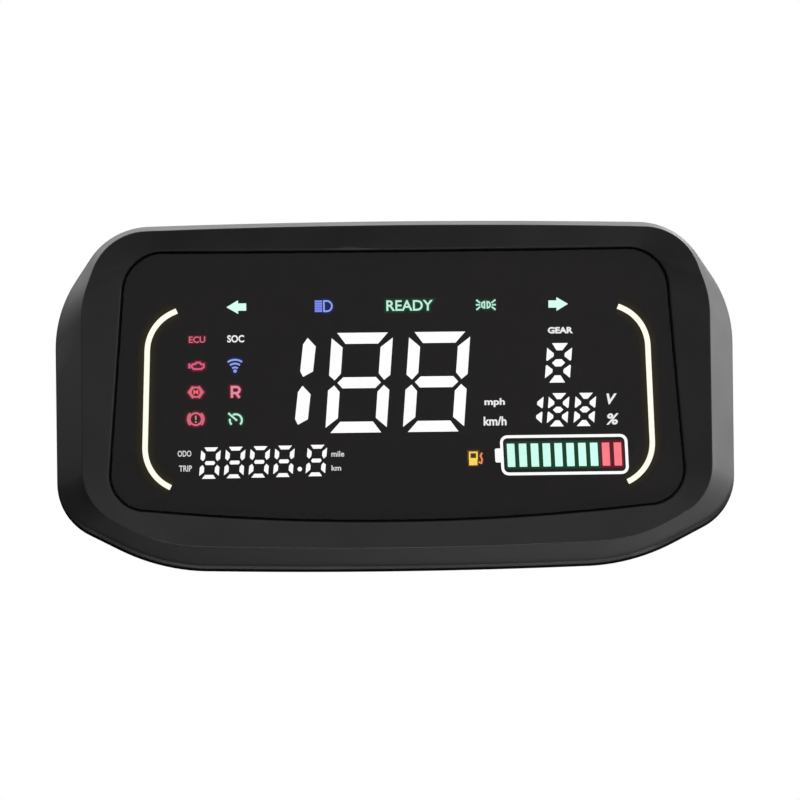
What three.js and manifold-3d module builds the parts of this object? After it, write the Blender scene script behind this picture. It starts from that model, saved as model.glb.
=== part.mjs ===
// Motorcycle instrument cluster: a sealed LED display unit with a moulded bezel, a smoked lens, a light-box
// display, two circuit boards, a rear cover with three threaded mounting posts, and a short harness pigtail
// with a latched plug.
//
// Units are millimetres. +X is to the rider's right, +Z is up, and the display faces -Y.
// The origin is the centre of the rest pad on the back, in the plane of the three mounting posts.
import * as THREE from "three";
import { mergeVertices } from "three/addons/utils/BufferGeometryUtils.js";
import Module from "manifold-3d";

const wasm = await Module();
wasm.setup();

// ---- driving dimensions ----

// Depths, as Y planes from the front to the back.
const RIDGE_Y = -40; // front-most crease of the bezel
const WINDOW_EDGE_Y = -37.5; // inner edge of the dished front band
const LENS_FRONT_Y = -36.9;
const LENS_BACK_Y = LENS_FRONT_Y + 1.4;
const FILM_FRONT_Y = LENS_BACK_Y + 0.1; // legend film, in a thin ink and glue gap behind the lens
const FILM_BACK_Y = FILM_FRONT_Y + 0.2;
const TAPE_THICKNESS = 0.3;
const TAPE_INSET = 0.2; // the tape stops short of the ledge's inner edge
const LEDGE_FRONT_Y = FILM_BACK_Y + TAPE_THICKNESS;
const LEDGE_THICKNESS = 1.2;
const LEDGE_BACK_Y = LEDGE_FRONT_Y + LEDGE_THICKNESS;
const RIM_Y = -26; // widest outline of the bezel
const PARTING_Y = -22; // bezel meets rear cover
const COVER_FLANGE_BACK_Y = -19;
const COVER_INSIDE_Y = -8.5;
const COVER_OUTSIDE_Y = -6;
const MOUNT_Y = 0; // end faces of the mounting posts and the rest pad

// Half outlines seen from the front, as corners [x, z, radius] from bottom to top; the other half is the
// mirror image. top and bottom say how far those edges bow outwards; a negative bow is a hollow.
const RIM = {
  corners: [[59.3, -43.6, 52], [86, -29.9, 14.6], [86, 22.3, 31], [71.7, 43.8, 17.8]],
  top: 0.75,
  bottom: 0.65,
};
const RIDGE = {
  corners: [[58.8, -36.3, 41], [78, -25.4, 13.4], [77.8, 24.4, 25], [71.5, 41.7, 14.4]],
  top: 0.9,
  bottom: 1,
};
const WINDOW = {
  corners: [[72.5, -27.7, 9.2], [67.3, 36.8, 10.4]],
  top: -0.2,
  bottom: 3.3,
};
const ARC_STEPS = 4;
const BOW_STEPS = 4;

// Bezel and rear cover walls.
const SKIRT_WALL = 2.4;
const SKIRT_INSIDE_Y = RIDGE_Y + 3.4; // front of the hollow behind the ridge
const RIM_WALL = 4.4;
const LEDGE_WIDTH = 2.8;
const WINDOW_WALL = 1.2; // wall round the lens pocket
const FIT_GAP = 0.3; // clearance round a piece that drops into a pocket
const SEAL_OUTER = 1.5; // seal groove, measured inwards from the rim
const SEAL_INNER = 3.5;
const SEAL_DEPTH = 1.5;
const SEAL_GAP = 0.1;
const COVER_INSET = 0.3; // the cover's flange stops this far inside the rim
const TUB_INSET = 10.6; // rear tub wall, measured inwards from the rim
const TUB_DRAFT = 2;
const TUB_CHAMFER = 2;
const TUB_WALL = 2.2;

// Display stack behind the ledge.
const MODULE_INSET = 1.8; // display parts are this much smaller than the window all round
const STACK_GAP = 0.1; // between neighbours in the stack that don't touch
const MASK_THICKNESS = 0.5;
const PAD_SHRINK = 0.06; // a diffuser pad is this share smaller than its window
const CAVITY_GAP = 0.2; // a light-box cavity is this much wider than its window on each side
const DIFFUSER_THICKNESS = 0.5;
const REFLECTOR_THICKNESS = 6.4;
const BOARD_THICKNESS = 1.6;
const MASK_FRONT_Y = LEDGE_BACK_Y + STACK_GAP;
const MASK_BACK_Y = MASK_FRONT_Y + MASK_THICKNESS;
const DIFFUSER_BACK_Y = MASK_BACK_Y + DIFFUSER_THICKNESS;
const REFLECTOR_BACK_Y = DIFFUSER_BACK_Y + REFLECTOR_THICKNESS;
const DISPLAY_BOARD_BACK_Y = REFLECTOR_BACK_Y + BOARD_THICKNESS;
const MAIN_BOARD_FRONT_Y = -16;
const MAIN_BOARD_BACK_Y = MAIN_BOARD_FRONT_Y + BOARD_THICKNESS;
const MAIN_BOARD = { width: 118, height: 48, radius: 3 };
const DISPLAY_EARS = { x: 71, width: 13, height: 8 }; // tabs of the display board that take its screws
const CAPACITOR_HEIGHT = 6.6;
const WIRE_HEADER_BACK_Y = -11.9;
const WIRE_PLUG_BACK_Y = -9.4;

// Fasteners, as [x, z] places.
const CASE_SCREWS = [[0, 38.3], [-72.6, 29], [72.6, 29], [-69.5, -30.6], [69.5, -30.6], [0, -37.6]];
const CASE_SCREW = { shank: 1.45, length: 9, head: 2.8, headHeight: 1.9 };
const MODULE_SCREWS = [[-74.6, 12], [74.6, 12], [-75, -13], [75, -13]];
const BOARD_SCREWS = [[-55, 20], [55, 20], [-55, -20], [55, -20]];
const SMALL_SCREW = { shank: 1.15, length: 5, head: 2.1, headHeight: 1.5 };
const HOLE_GAP = 0.1; // radial clearance of a shank in its hole
const HEAD_GAP = 0.4; // radial clearance of a head in its counterbore
const COUNTERBORE = 0.8;
const CASE_BOSS = { radius: 2.9, front: -32, holeFront: -30 };
const MODULE_BOSS = { radius: 2.4, front: -37, holeFront: -31 };
const BOARD_BOSS_RADIUS = 2.6;
const PAST = 1; // how far a cutting tool runs past a face, or a joined piece runs into its neighbour

// Mounting posts and their brass inserts.
const POSTS = [[-46, 17], [46, 17], [0, -21]];
const POST_RADIUS = 7;
const INSERT = { radius: 4.2, bore: 2.5, length: 10, sunk: 0.2, gap: 0.05 };
const INSERT_GROOVE = { width: 1.6, depth: 0.5 };
const REST_PAD = { width: 16, height: 12 };
const RIB = { thickness: 1.6, backY: -3, reach: 12 };

// Harness pigtail: it leaves the back, turns and runs along +X behind the case.
const OUTLET = [-34, -13];
const OUTLET_PAD = { radius: 8.5, back: -4, bore: 5 };
const CABLE_RADIUS = 3.4;
const CABLE_START_Y = WIRE_PLUG_BACK_Y;
const CABLE_BEND = 11;
const CABLE_RUN_Y = 19;
const CABLE_GRIP_GAP = 0.1; // round the cable in its rubber parts
const PLUG_START_X = 12;
const GRIP = { length: 17, depth: 14, height: 18 }; // rear block of the plug
const NOSE = { length: 11, depth: 9.6, height: 14 }; // front block that enters the mating half
const COLLAR = { length: 3, radius: 6.4 };
const BOOT = { radius: 4.6, back: 8, front: 5 }; // rubber sleeve, measured from the plug's start
const WAYS = { columns: [-4.2, -1.4, 1.4, 4.2], rows: [-2.7, 2.7], size: 1.3, depth: 8 };
const TERMINAL = { size: 0.9, length: 6, recess: 1.2 };
const LOCK = { depth: 1.6, height: 11, length: 5, gap: 0.15, recess: 0.5 };
const LATCH = { width: 7, back: 8, front: 15, thickness: 1.4, lift: 2.1, hook: 1.4 };
const LATCH_PIN = { radius: 0.78, gap: 0.07, overhang: 1.5, fromGrip: 9 };
const LATCH_EAR = { depth: 1.8, thickness: 1.4, gap: 0.3 };
const PLUG_SEAL = { ribs: [0.6, 1.2, 0.7, 1.2, 0.6], pitch: 0.8, gap: 0.05 };

// Vent, seen from the back.
const VENT = [26, 2];
const VENT_PAD = { radius: 6, back: -4.8, bore: 2.5 };
const VENT_HEAD = { radius: 4.8, chamfer: 0.6, back: -2.8 };

// ---- materials ----

function material(color, roughness, metalness = 0) {
  return new THREE.MeshStandardMaterial({ color, roughness, metalness });
}
const BLACK_ABS = material(0x1d1e20, 0.55);
const SMOKED_ACRYLIC = material(0x17151a, 0.08);
const FOAM_TAPE = material(0x101010, 0.9);
const MASK_BLACK = material(0x141216, 0.5);
const DIFFUSE_WHITE = material(0xf4f4f0, 0.6);
const REFLECTOR_WHITE = material(0xe8e8e4, 0.5);
const LIGHT_BAR = material(0xfff2d0, 0.3);
const BOARD_GREEN = material(0x1f4d33, 0.6);
const CHIP_BLACK = material(0x18181a, 0.5);
const CAN_SILVER = material(0xb8babd, 0.35, 1);
const NYLON_WHITE = material(0xe6e2d6, 0.5);
const RUBBER = material(0x161616, 0.8);
const BRASS = material(0xb08d4c, 0.35, 1);
const STEEL = material(0xa9abad, 0.35, 1);
const CABLE_PVC = material(0x141416, 0.6);
const PLUG_BLACK = material(0x1b1b1d, 0.5);
const LOCK_ORANGE = material(0xd96a1c, 0.5);
const SEAL_ORANGE = material(0xb5502a, 0.7);
const VENT_GREY = material(0x4a4c50, 0.6);

// ---- outlines ----

// A closed outline with every corner rounded and its top and bottom edges bowed outwards.
// Every outline has the same number of points in the same order, so any two can be joined by a loft.
function outline({ corners, top, bottom }) {
  const right = corners.map(([x, z, r]) => ({ p: new THREE.Vector2(x, z), r }));
  const left = right.map(({ p, r }) => ({ p: new THREE.Vector2(-p.x, p.y), r })).reverse();
  const all = [...right, ...left];
  const arcs = all.map(({ p, r }, i) => {
    const before = all.at(i - 1).p.clone().sub(p).normalize();
    const after = all[(i + 1) % all.length].p.clone().sub(p).normalize();
    const half = before.angleTo(after) / 2;
    const centre = before.clone().add(after).setLength(r / Math.sin(half)).add(p);
    const start = before.clone().multiplyScalar(r / Math.tan(half)).add(p).sub(centre);
    const turn = Math.PI - 2 * half;
    return Array.from({ length: ARC_STEPS + 1 }, (_, k) =>
      start.clone().rotateAround(new THREE.Vector2(), (turn * k) / ARC_STEPS).add(centre),
    );
  });
  const bows = { [right.length - 1]: top, [all.length - 1]: bottom };
  return arcs.flatMap((arc, i) => {
    if (!(i in bows)) return arc;
    const from = arc.at(-1);
    const to = arcs[(i + 1) % arcs.length][0];
    const out = new THREE.Vector2(to.y - from.y, from.x - to.x).normalize();
    const bowed = Array.from({ length: BOW_STEPS - 1 }, (_, k) => {
      const t = (k + 1) / BOW_STEPS;
      return from.clone().lerp(to, t).addScaledVector(out, 4 * bows[i] * t * (1 - t));
    });
    return [...arc, ...bowed];
  });
}

// Moves every point of a closed outline along its own normal; a negative distance goes inwards.
function offset(points, distance) {
  return points.map((p, i) => {
    const along = points[(i + 1) % points.length].clone().sub(points.at(i - 1));
    return new THREE.Vector2(along.y, -along.x).setLength(distance).add(p);
  });
}

// Gives each corner as two, each with half of the turn, so that a four-cornered outline
// has as many points as an eight-cornered one.
function twoPerCorner({ corners, top, bottom }) {
  const points = corners.map(([x, z]) => new THREE.Vector2(x, z));
  const mirrored = (p) => new THREE.Vector2(-p.x, p.y);
  const around = [mirrored(points[0]), ...points, mirrored(points.at(-1))];
  const doubled = corners.flatMap(([, , r], i) => {
    const here = around[i + 1];
    const edges = [around[i], around[i + 2]].map((p) => p.clone().sub(here).normalize());
    const angle = edges[0].angleTo(edges[1]);
    const reach = r / Math.tan(angle / 2) - r * Math.tan((Math.PI - angle) / 4);
    return edges.map((edge) => [...edge.multiplyScalar(reach).add(here), r * 0.95]);
  });
  return { corners: doubled, top, bottom };
}

const rim = outline(RIM);
const ridge = outline(RIDGE);
const windowEdge = outline(twoPerCorner(WINDOW));
const lensEdge = offset(windowEdge, -FIT_GAP);
const ledgeEdge = offset(windowEdge, -LEDGE_WIDTH);
const moduleEdge = offset(windowEdge, -MODULE_INSET);

// ---- solids ----

function solidOf(geometry) {
  const bare = geometry.index ? geometry.toNonIndexed() : geometry.clone();
  const positions = new THREE.BufferGeometry().setAttribute("position", bare.getAttribute("position"));
  const merged = mergeVertices(positions, 1e-4);
  const triVerts = new Uint32Array(merged.index.array);
  const vertProperties = merged.attributes.position.array;
  return new wasm.Manifold(new wasm.Mesh({ numProp: 3, vertProperties, triVerts }));
}

function geometryOf(solid) {
  const mesh = solid.getMesh();
  return new THREE.BufferGeometry()
    .setAttribute("position", new THREE.BufferAttribute(mesh.vertProperties, 3))
    .setIndex(new THREE.BufferAttribute(mesh.triVerts, 1));
}

function join(...geometries) {
  return geometryOf(geometries.map(solidOf).reduce((a, b) => a.add(b)));
}

function cut(geometry, ...tools) {
  return geometryOf(tools.map(solidOf).reduce((a, b) => a.subtract(b), solidOf(geometry)));
}

// Joins rings of points, given as [outline, y] pairs. A closed loft returns to its first ring;
// an open one is capped at both ends.
function loft(rings, closed) {
  const count = rings[0][0].length;
  const vertices = rings.flatMap(([points, y]) => points.flatMap((p) => [p.x, y, p.y]));
  const index = [];
  const spans = closed ? rings.length : rings.length - 1;
  for (let r = 0; r < spans; r++) {
    const a = r * count;
    const b = ((r + 1) % rings.length) * count;
    for (let i = 0; i < count; i++) {
      const j = (i + 1) % count;
      index.push(a + i, b + i, b + j, a + i, b + j, a + j);
    }
  }
  if (!closed) {
    const last = (rings.length - 1) * count;
    for (let i = 1; i < count - 1; i++) index.push(0, i, i + 1, last, last + i + 1, last + i);
  }
  return new THREE.BufferGeometry()
    .setAttribute("position", new THREE.Float32BufferAttribute(vertices, 3))
    .setIndex(index);
}

// A plate with one of the outlines above, between two Y planes.
function plate(points, frontY, backY) {
  return loft([[points, frontY], [points, backY]], false);
}

// A flat slab with any front outline, between two Y planes.
function slab(points, frontY, backY) {
  const shape = new THREE.Shape(points);
  const geometry = new THREE.ExtrudeGeometry(shape, { depth: backY - frontY, bevelEnabled: false });
  return geometry.rotateX(Math.PI / 2).translate(0, backY, 0);
}

// A plate with openings right through it.
function piercedPlate(points, frontY, backY, holes) {
  return cut(plate(points, frontY, backY), ...holes.map((hole) => slab(hole, frontY - PAST, backY + PAST)));
}

function rectangle(x, z, width, height) {
  const [w, h] = [width / 2, height / 2];
  return [[x - w, z - h], [x + w, z - h], [x + w, z + h], [x - w, z + h]].map((p) => new THREE.Vector2(...p));
}

function roundedRectangle(x, z, width, height, radius, steps = 3) {
  const [w, h] = [width / 2 - radius, height / 2 - radius];
  return [[w, -h], [w, h], [-w, h], [-w, -h]].flatMap(([dx, dz], i) =>
    Array.from({ length: steps + 1 }, (_, k) => {
      const angle = -Math.PI / 2 + (i + k / steps) * (Math.PI / 2);
      return new THREE.Vector2(x + dx + radius * Math.cos(angle), z + dz + radius * Math.sin(angle));
    }),
  );
}

function block(x, z, width, height, frontY, backY) {
  return slab(rectangle(x, z, width, height), frontY, backY);
}

// A round post along Y.
function post([x, z], radius, frontY, backY, sides = 20) {
  const cylinder = new THREE.CylinderGeometry(radius, radius, backY - frontY, sides);
  return cylinder.translate(x, (frontY + backY) / 2, z);
}

// A turned piece along Y; the profile is [radius, y] pairs and closes on itself or on the axis.
function turned([x, z], profile, sides = 24) {
  const points = profile.map(([r, y]) => new THREE.Vector2(r, y));
  return new THREE.LatheGeometry(points, sides).translate(x, 0, z);
}

// ---- light windows of the display, in the plane of the mask ----

// Turns a closed outline anticlockwise if it isn't already.
function anticlockwise(points) {
  return THREE.ShapeUtils.isClockWise(points) ? points.reverse() : points;
}

// The lit pieces of a digit, the right uprights first. stroke and bar are the thicknesses of the uprights and
// of the crosswise bars, corner their distance from the outer corners, mitre the slant of the bars' ends, gap
// the break between the pieces, peak the place of the uprights' tips as a share of the stroke from outside.
// Each shape is drawn in the upper right quarter; side and up (1 or -1) mirror it into the other quarters.
function segments({ width, height, stroke, bar, corner, mitre, gap, peak }) {
  const [w, h, inner, foot] = [width / 2, height / 2, width / 2 - stroke, 0.7 * gap];
  const upright = [
    [w, h - corner], [inner, h - bar - gap], [inner, bar / 2 + gap], [w - peak * stroke, foot],
    [w, foot + 0.85 * peak * stroke],
  ];
  const end = inner - mitre;
  const cross = [[corner - w, h], [w - corner, h], [end, h - bar], [-end, h - bar]];
  const tip = w - stroke / 2 - 0.85 * gap;
  const centre = [[-tip, 0], [-end, bar / 2], [end, bar / 2], [tip, 0], [end, -bar / 2], [-end, -bar / 2]];
  const mirrored = (polygon, side, up) => polygon.map(([x, z]) => [x * side, z * up]);
  const uprights = [[1, 1], [1, -1], [-1, 1], [-1, -1]].map((way) => mirrored(upright, ...way));
  return [...uprights, cross, mirrored(cross, 1, -1), centre];
}

// The two lit pieces of the large leading one.
function oneSegments({ length, stroke, gap }) {
  const [half, s] = [length / 2, stroke];
  const piece = [
    [-0.2 * s, half], [s / 2, half - 0.68 * s], [s / 2, 0.41 * s - half], [-0.23 * s, -half],
    [-s / 2, 0.45 * s - half], [-s / 2, half - 0.5 * s],
  ];
  return [1, -1].map((up) => piece.map(([x, z]) => [x, z + up * (half + gap / 2)]));
}

// A digit centred on x and z that leans right by lean per unit of height.
function digit(size, make = segments) {
  const { x, z, lean } = size;
  return make(size).map((polygon) =>
    anticlockwise(polygon.map(([px, pz]) => new THREE.Vector2(x + px + lean * pz, z + pz))),
  );
}

// A turn arrow; side is 1 for one that points right.
function arrow(x, z, side) {
  const [tip, neck, head, shaft] = [2.45, -0.45, 1.7, 0.9];
  const half = [[tip, 0], [neck, head], [neck, shaft], [-tip, shaft]];
  const lower = half.slice(1).reverse().map(([px, pz]) => [px, -pz]);
  return anticlockwise([...half, ...lower].map(([px, pz]) => new THREE.Vector2(x + side * px, z + pz)));
}

const SPEED = {
  z: 3.74, width: 15.25, height: 24.9, stroke: 2.9, bar: 2.75, corner: 1.3, mitre: 0.65, gap: 0.9, peak: 0.5,
  lean: 0.08,
};
const ONE = { x: -22.8, z: 4.25, length: 9.7, stroke: 3.2, gap: 2.2, lean: 0.12 };
const TRIP = {
  width: 4.85, height: 7.8, stroke: 1.08, bar: 0.95, corner: 0.72, mitre: 0.34, gap: 0.68, peak: 0.6,
  lean: 0.09,
};
// The trip row climbs to the right; z is where it would cross the middle of the display.
const TRIP_ROW = { z: -15.3, rise: 0.011, places: [-46.8, -40.67, -34.54, -28.41, -20.35] };
const GEAR = {
  x: 40.4, z: 8.1, width: 6.25, height: 9.85, stroke: 1.75, bar: 1.8, corner: 1.15, mitre: 0.65, gap: 0.72,
  peak: 0.15, lean: 0.085,
};
const CHARGE = {
  z: -3.62, width: 5.15, height: 8.3, stroke: 1.48, bar: 1.5, corner: 0.85, mitre: 0.6, gap: 0.6, peak: 0.15,
  lean: 0.085,
};
const BATTERY = { x: 41.7, z: -14.8, first: -13.4, pitch: 2.97, width: 1.95, height: 5.85, count: 10 };
const speedDigits = [...digit(ONE, oneSegments), ...[-9.45, 9.85].flatMap((x) => digit({ ...SPEED, x }))];
const tripDigits = TRIP_ROW.places.flatMap((x) => digit({ ...TRIP, x, z: TRIP_ROW.z + TRIP_ROW.rise * x }));
const gearDigit = digit(GEAR);
const chargeDigits = [
  ...digit({ ...CHARGE, x: 33.7 }).slice(0, 2),
  ...[40.15, 46.85].flatMap((x) => digit({ ...CHARGE, x })),
];
const batteryBars = Array.from({ length: BATTERY.count }, (_, i) =>
  rectangle(BATTERY.x + BATTERY.first + BATTERY.pitch * i, BATTERY.z, BATTERY.width, BATTERY.height),
);
const turnArrows = [arrow(-39.8, 22.9, -1), arrow(40.5, 22.8, 1)];
// Telltale and legend windows: one plain opening behind each symbol, as [x, z, width, height].
const SYMBOLS = [
  [-17.9, 22.9, 5, 3.4], [3.2, 22.8, 12, 3], [22.4, 22.8, 5.2, 3.4],
  [-49.7, 15, 5, 2.6], [-40.1, 15, 5, 2.6], [-49.9, 8.4, 5, 2.8], [-40.2, 8.4, 3.6, 4.2],
  [-50.1, 1.9, 5, 3.8], [-40.3, 1.8, 3.6, 3.6], [-50.2, -4.8, 5, 3.8], [-40.4, -4.9, 4.4, 3.8],
  [-53.1, -13.4, 3.8, 1.9], [-53, -17.1, 3.8, 1.9], [-15, -13.9, 3.8, 1.9], [-15.4, -17.5, 3.2, 1.9],
  [24.2, -2, 5.6, 2.4], [24.4, -6.5, 6.4, 2.4], [40.9, 16.2, 6.8, 2.2], [53.5, -1.1, 3, 3.4],
  [53.8, -6.2, 3.4, 3.4], [19.4, -15.5, 3.9, 4],
];
const symbolWindows = SYMBOLS.map((box) => rectangle(...box));
const lightWindows = [
  ...speedDigits,
  ...tripDigits,
  ...gearDigit,
  ...chargeDigits,
  ...batteryBars,
  ...turnArrows,
  ...symbolWindows,
];

// Shrinks a polygon towards the centre of its area, to leave a gap in the opening it fills.
function shrink(points, share) {
  const corners = points.map((p, i) => [p, points[(i + 1) % points.length]]);
  const weights = corners.map(([p, next]) => p.cross(next));
  const total = weights.reduce((a, b) => a + b);
  const centre = corners.reduce(
    (sum, [p, next], i) => sum.addScaledVector(p.clone().add(next), weights[i] / (3 * total)),
    new THREE.Vector2(),
  );
  return points.map((p) => p.clone().lerp(centre, share));
}

// The bracket-shaped halo line beside the display, as a closed outline. side is 1 for the right one.
const HALO = {
  path: [[55, 22.1], [62.2, 18.9], [63.5, -18.7], [57, -21.8]],
  bend: 10.6,
  shift: 0.4, // the whole display sits a little to the right
  width: 1.6,
  gap: 0.1,
};
function halo(side, width) {
  const path = HALO.path.map(([x, z]) => new THREE.Vector2(x, z));
  const line = path.flatMap((p, i) => {
    if (i === 0 || i === path.length - 1) return [p];
    const before = path[i - 1].clone().sub(p).normalize();
    const after = path[i + 1].clone().sub(p).normalize();
    const half = before.angleTo(after) / 2;
    const reach = HALO.bend / Math.tan(half);
    const centre = before.clone().add(after).setLength(HALO.bend / Math.sin(half)).add(p);
    const start = before.multiplyScalar(reach).add(p).sub(centre);
    const turn = -(Math.PI - 2 * half);
    return Array.from({ length: ARC_STEPS + 1 }, (_, k) =>
      start.clone().rotateAround(new THREE.Vector2(), (turn * k) / ARC_STEPS).add(centre),
    );
  });
  const sides = [1, -1].map((way) =>
    line.map((p, i) => {
      const along = line[Math.min(i + 1, line.length - 1)].clone().sub(line[Math.max(i - 1, 0)]);
      return new THREE.Vector2(-along.y, along.x).setLength((way * width) / 2).add(p);
    }),
  );
  const ring = [...sides[0], ...sides[1].reverse()];
  const closed = ring.map((p) => new THREE.Vector2(HALO.shift + side * p.x, p.y));
  return anticlockwise(closed);
}
const haloSlots = [1, -1].map((side) => halo(side, HALO.width + 2 * HALO.gap));

// ---- the pieces ----

function frontBezel() {
  const inner = offset(rim, -RIM_WALL);
  const shell = loft(
    [
      [windowEdge, WINDOW_EDGE_Y],
      [ridge, RIDGE_Y],
      [rim, RIM_Y],
      [rim, PARTING_Y],
      [inner, PARTING_Y],
      [inner, RIM_Y + 0.5],
      [offset(ridge, -SKIRT_WALL), SKIRT_INSIDE_Y],
      [offset(windowEdge, WINDOW_WALL), LEDGE_BACK_Y],
      [ledgeEdge, LEDGE_BACK_Y],
      [ledgeEdge, LEDGE_FRONT_Y],
      [windowEdge, LEDGE_FRONT_Y],
    ],
    true,
  );
  const groups = [
    { places: CASE_SCREWS, boss: CASE_BOSS, size: CASE_SCREW, backY: PARTING_Y },
    { places: MODULE_SCREWS, boss: MODULE_BOSS, size: SMALL_SCREW, backY: REFLECTOR_BACK_Y },
  ];
  const bosses = groups.flatMap(({ places, boss, backY }) =>
    places.map((at) => post(at, boss.radius, boss.front, backY, 16)),
  );
  const pilots = groups.flatMap(({ places, boss, size, backY }) =>
    places.map((at) => post(at, size.shank + HOLE_GAP, boss.holeFront, backY + PAST, 12)),
  );
  return cut(join(shell, ...bosses), ...pilots);
}

// The rear cover's shell: a flange with a seal groove, and a drafted tub with a chamfered back edge.
function coverShell() {
  const sealOuter = offset(rim, -SEAL_OUTER);
  const sealInner = offset(rim, -SEAL_INNER);
  const grooveBack = PARTING_Y + SEAL_DEPTH;
  return loft(
    [
      [offset(rim, -TUB_INSET - TUB_DRAFT - TUB_WALL), COVER_INSIDE_Y],
      [offset(rim, -TUB_INSET - TUB_WALL), PARTING_Y],
      [sealInner, PARTING_Y],
      [sealInner, grooveBack],
      [sealOuter, grooveBack],
      [sealOuter, PARTING_Y],
      [offset(rim, -COVER_INSET), PARTING_Y],
      [offset(rim, -COVER_INSET), COVER_FLANGE_BACK_Y],
      [offset(rim, -TUB_INSET), COVER_FLANGE_BACK_Y],
      [offset(rim, -TUB_INSET - TUB_DRAFT), COVER_OUTSIDE_Y - TUB_CHAMFER],
      [offset(rim, -TUB_INSET - TUB_DRAFT - TUB_CHAMFER), COVER_OUTSIDE_Y],
    ],
    false,
  );
}

// Stiffening ribs along the upper posts and down the middle, as [x, z, width, height] on the back.
function coverRibs() {
  const [postX, postZ] = POSTS[1];
  const lowerTop = POSTS[2][1] + POST_RADIUS;
  const padHalf = REST_PAD.height / 2;
  const side = postX + POST_RADIUS + RIB.reach / 2 - PAST;
  const upper = postZ + POST_RADIUS - padHalf;
  return [
    [0, postZ, 2 * (postX - POST_RADIUS + PAST), RIB.thickness],
    [-side, postZ, RIB.reach, RIB.thickness],
    [side, postZ, RIB.reach, RIB.thickness],
    [0, padHalf + upper / 2, RIB.thickness, upper + PAST],
    [0, (lowerTop - padHalf) / 2, RIB.thickness, 2 * PAST - padHalf - lowerTop],
  ];
}

function rearCover() {
  const onBack = COVER_OUTSIDE_Y - PAST;
  const inWall = COVER_INSIDE_Y + PAST / 2;
  const bosses = [
    ...POSTS.map((at) => post(at, POST_RADIUS, MOUNT_Y - INSERT.length - 2, MOUNT_Y, 32)),
    ...BOARD_SCREWS.map((at) => post(at, BOARD_BOSS_RADIUS, MAIN_BOARD_BACK_Y, inWall, 16)),
    block(0, 0, REST_PAD.width, REST_PAD.height, onBack, MOUNT_Y),
    post(OUTLET, OUTLET_PAD.radius, onBack, OUTLET_PAD.back, 32),
    post(VENT, VENT_PAD.radius, onBack, VENT_PAD.back, 24),
  ];
  const ribs = coverRibs().map((rib) => block(...rib, onBack, RIB.backY));
  const insertFront = MOUNT_Y - INSERT.length - INSERT.sunk;
  const caseHole = CASE_SCREW.shank + HOLE_GAP;
  const boardHole = SMALL_SCREW.shank + HOLE_GAP;
  const boreFront = COVER_INSIDE_Y - PAST;
  const headHole = CASE_SCREW.head + HEAD_GAP;
  const headSeat = COVER_FLANGE_BACK_Y - COUNTERBORE;
  const holes = [
    ...POSTS.map((at) => post(at, INSERT.radius, insertFront, MOUNT_Y + PAST, 32)),
    ...BOARD_SCREWS.map((at) => post(at, boardHole, MAIN_BOARD_BACK_Y - PAST, COVER_INSIDE_Y, 12)),
    ...CASE_SCREWS.map((at) => post(at, caseHole, PARTING_Y - PAST, COVER_FLANGE_BACK_Y + PAST, 12)),
    ...CASE_SCREWS.map((at) => post(at, headHole, headSeat, COVER_FLANGE_BACK_Y + PAST, 16)),
    post(OUTLET, OUTLET_PAD.bore, boreFront, OUTLET_PAD.back + PAST, 32),
    post(VENT, VENT_PAD.bore, boreFront, VENT_PAD.back + PAST, 24),
  ];
  return cut(join(coverShell(), ...bosses, ...ribs), ...holes);
}

function perimeterSeal() {
  const outer = offset(rim, -SEAL_OUTER - SEAL_GAP);
  const inner = offset(rim, -SEAL_INNER + SEAL_GAP);
  const back = PARTING_Y + SEAL_DEPTH;
  return loft([[outer, PARTING_Y], [outer, back], [inner, back], [inner, PARTING_Y]], true);
}

function lensTape() {
  const [frontY, backY] = [LEDGE_FRONT_Y - TAPE_THICKNESS, LEDGE_FRONT_Y];
  const inner = offset(ledgeEdge, TAPE_INSET);
  return loft([[lensEdge, frontY], [lensEdge, backY], [inner, backY], [inner, frontY]], true);
}

function maskPlate() {
  return piercedPlate(moduleEdge, MASK_FRONT_Y, MASK_BACK_Y, [...lightWindows, ...haloSlots]);
}

// A white sheet with a raised pad in each light window of the mask.
function segmentDiffuser() {
  const sheet = piercedPlate(moduleEdge, MASK_BACK_Y, DIFFUSER_BACK_Y, haloSlots);
  const inSheet = MASK_BACK_Y + DIFFUSER_THICKNESS / 2;
  const padFront = MASK_FRONT_Y + STACK_GAP;
  const pads = lightWindows.map((points) => slab(shrink(points, PAD_SHRINK), padFront, inSheet));
  return join(sheet, ...pads);
}

// The white light box, with one cavity behind each group of windows, given as [x, z, width, height].
function reflector() {
  const groups = [
    [-22.9, 3.8, 6, 26.5], [-9.5, 3.8, 18, 26.5], [9.8, 3.8, 18, 26.5],
    [-37.3, -15.7, 25, 9], [-20.3, -15.7, 6.6, 9], [40.4, 8.1, 8, 11], [41.2, -3.7, 19, 9],
    [41.7, -14.8, 31, 7.4], [-39.8, 22.9, 5.6, 4.2], [40.5, 22.8, 5.6, 4.2],
  ];
  const behindSymbols = SYMBOLS.map(([x, z, w, h]) => [x, z, w + 2 * CAVITY_GAP, h + 2 * CAVITY_GAP]);
  const cavities = [...groups, ...behindSymbols].map((cavity) => rectangle(...cavity));
  return piercedPlate(moduleEdge, DIFFUSER_BACK_Y, REFLECTOR_BACK_Y, [...cavities, ...haloSlots]);
}

function displayBoard() {
  const [frontY, backY] = [REFLECTOR_BACK_Y, DISPLAY_BOARD_BACK_Y];
  const { x: earX, width, height } = DISPLAY_EARS;
  const ears = MODULE_SCREWS.map(([x, z]) => block(Math.sign(x) * earX, z, width, height, frontY, backY));
  const radius = SMALL_SCREW.shank + HOLE_GAP;
  const holes = MODULE_SCREWS.map((at) => post(at, radius, frontY - PAST, backY + PAST, 12));
  return cut(join(plate(moduleEdge, frontY, backY), ...ears), ...holes);
}

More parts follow.
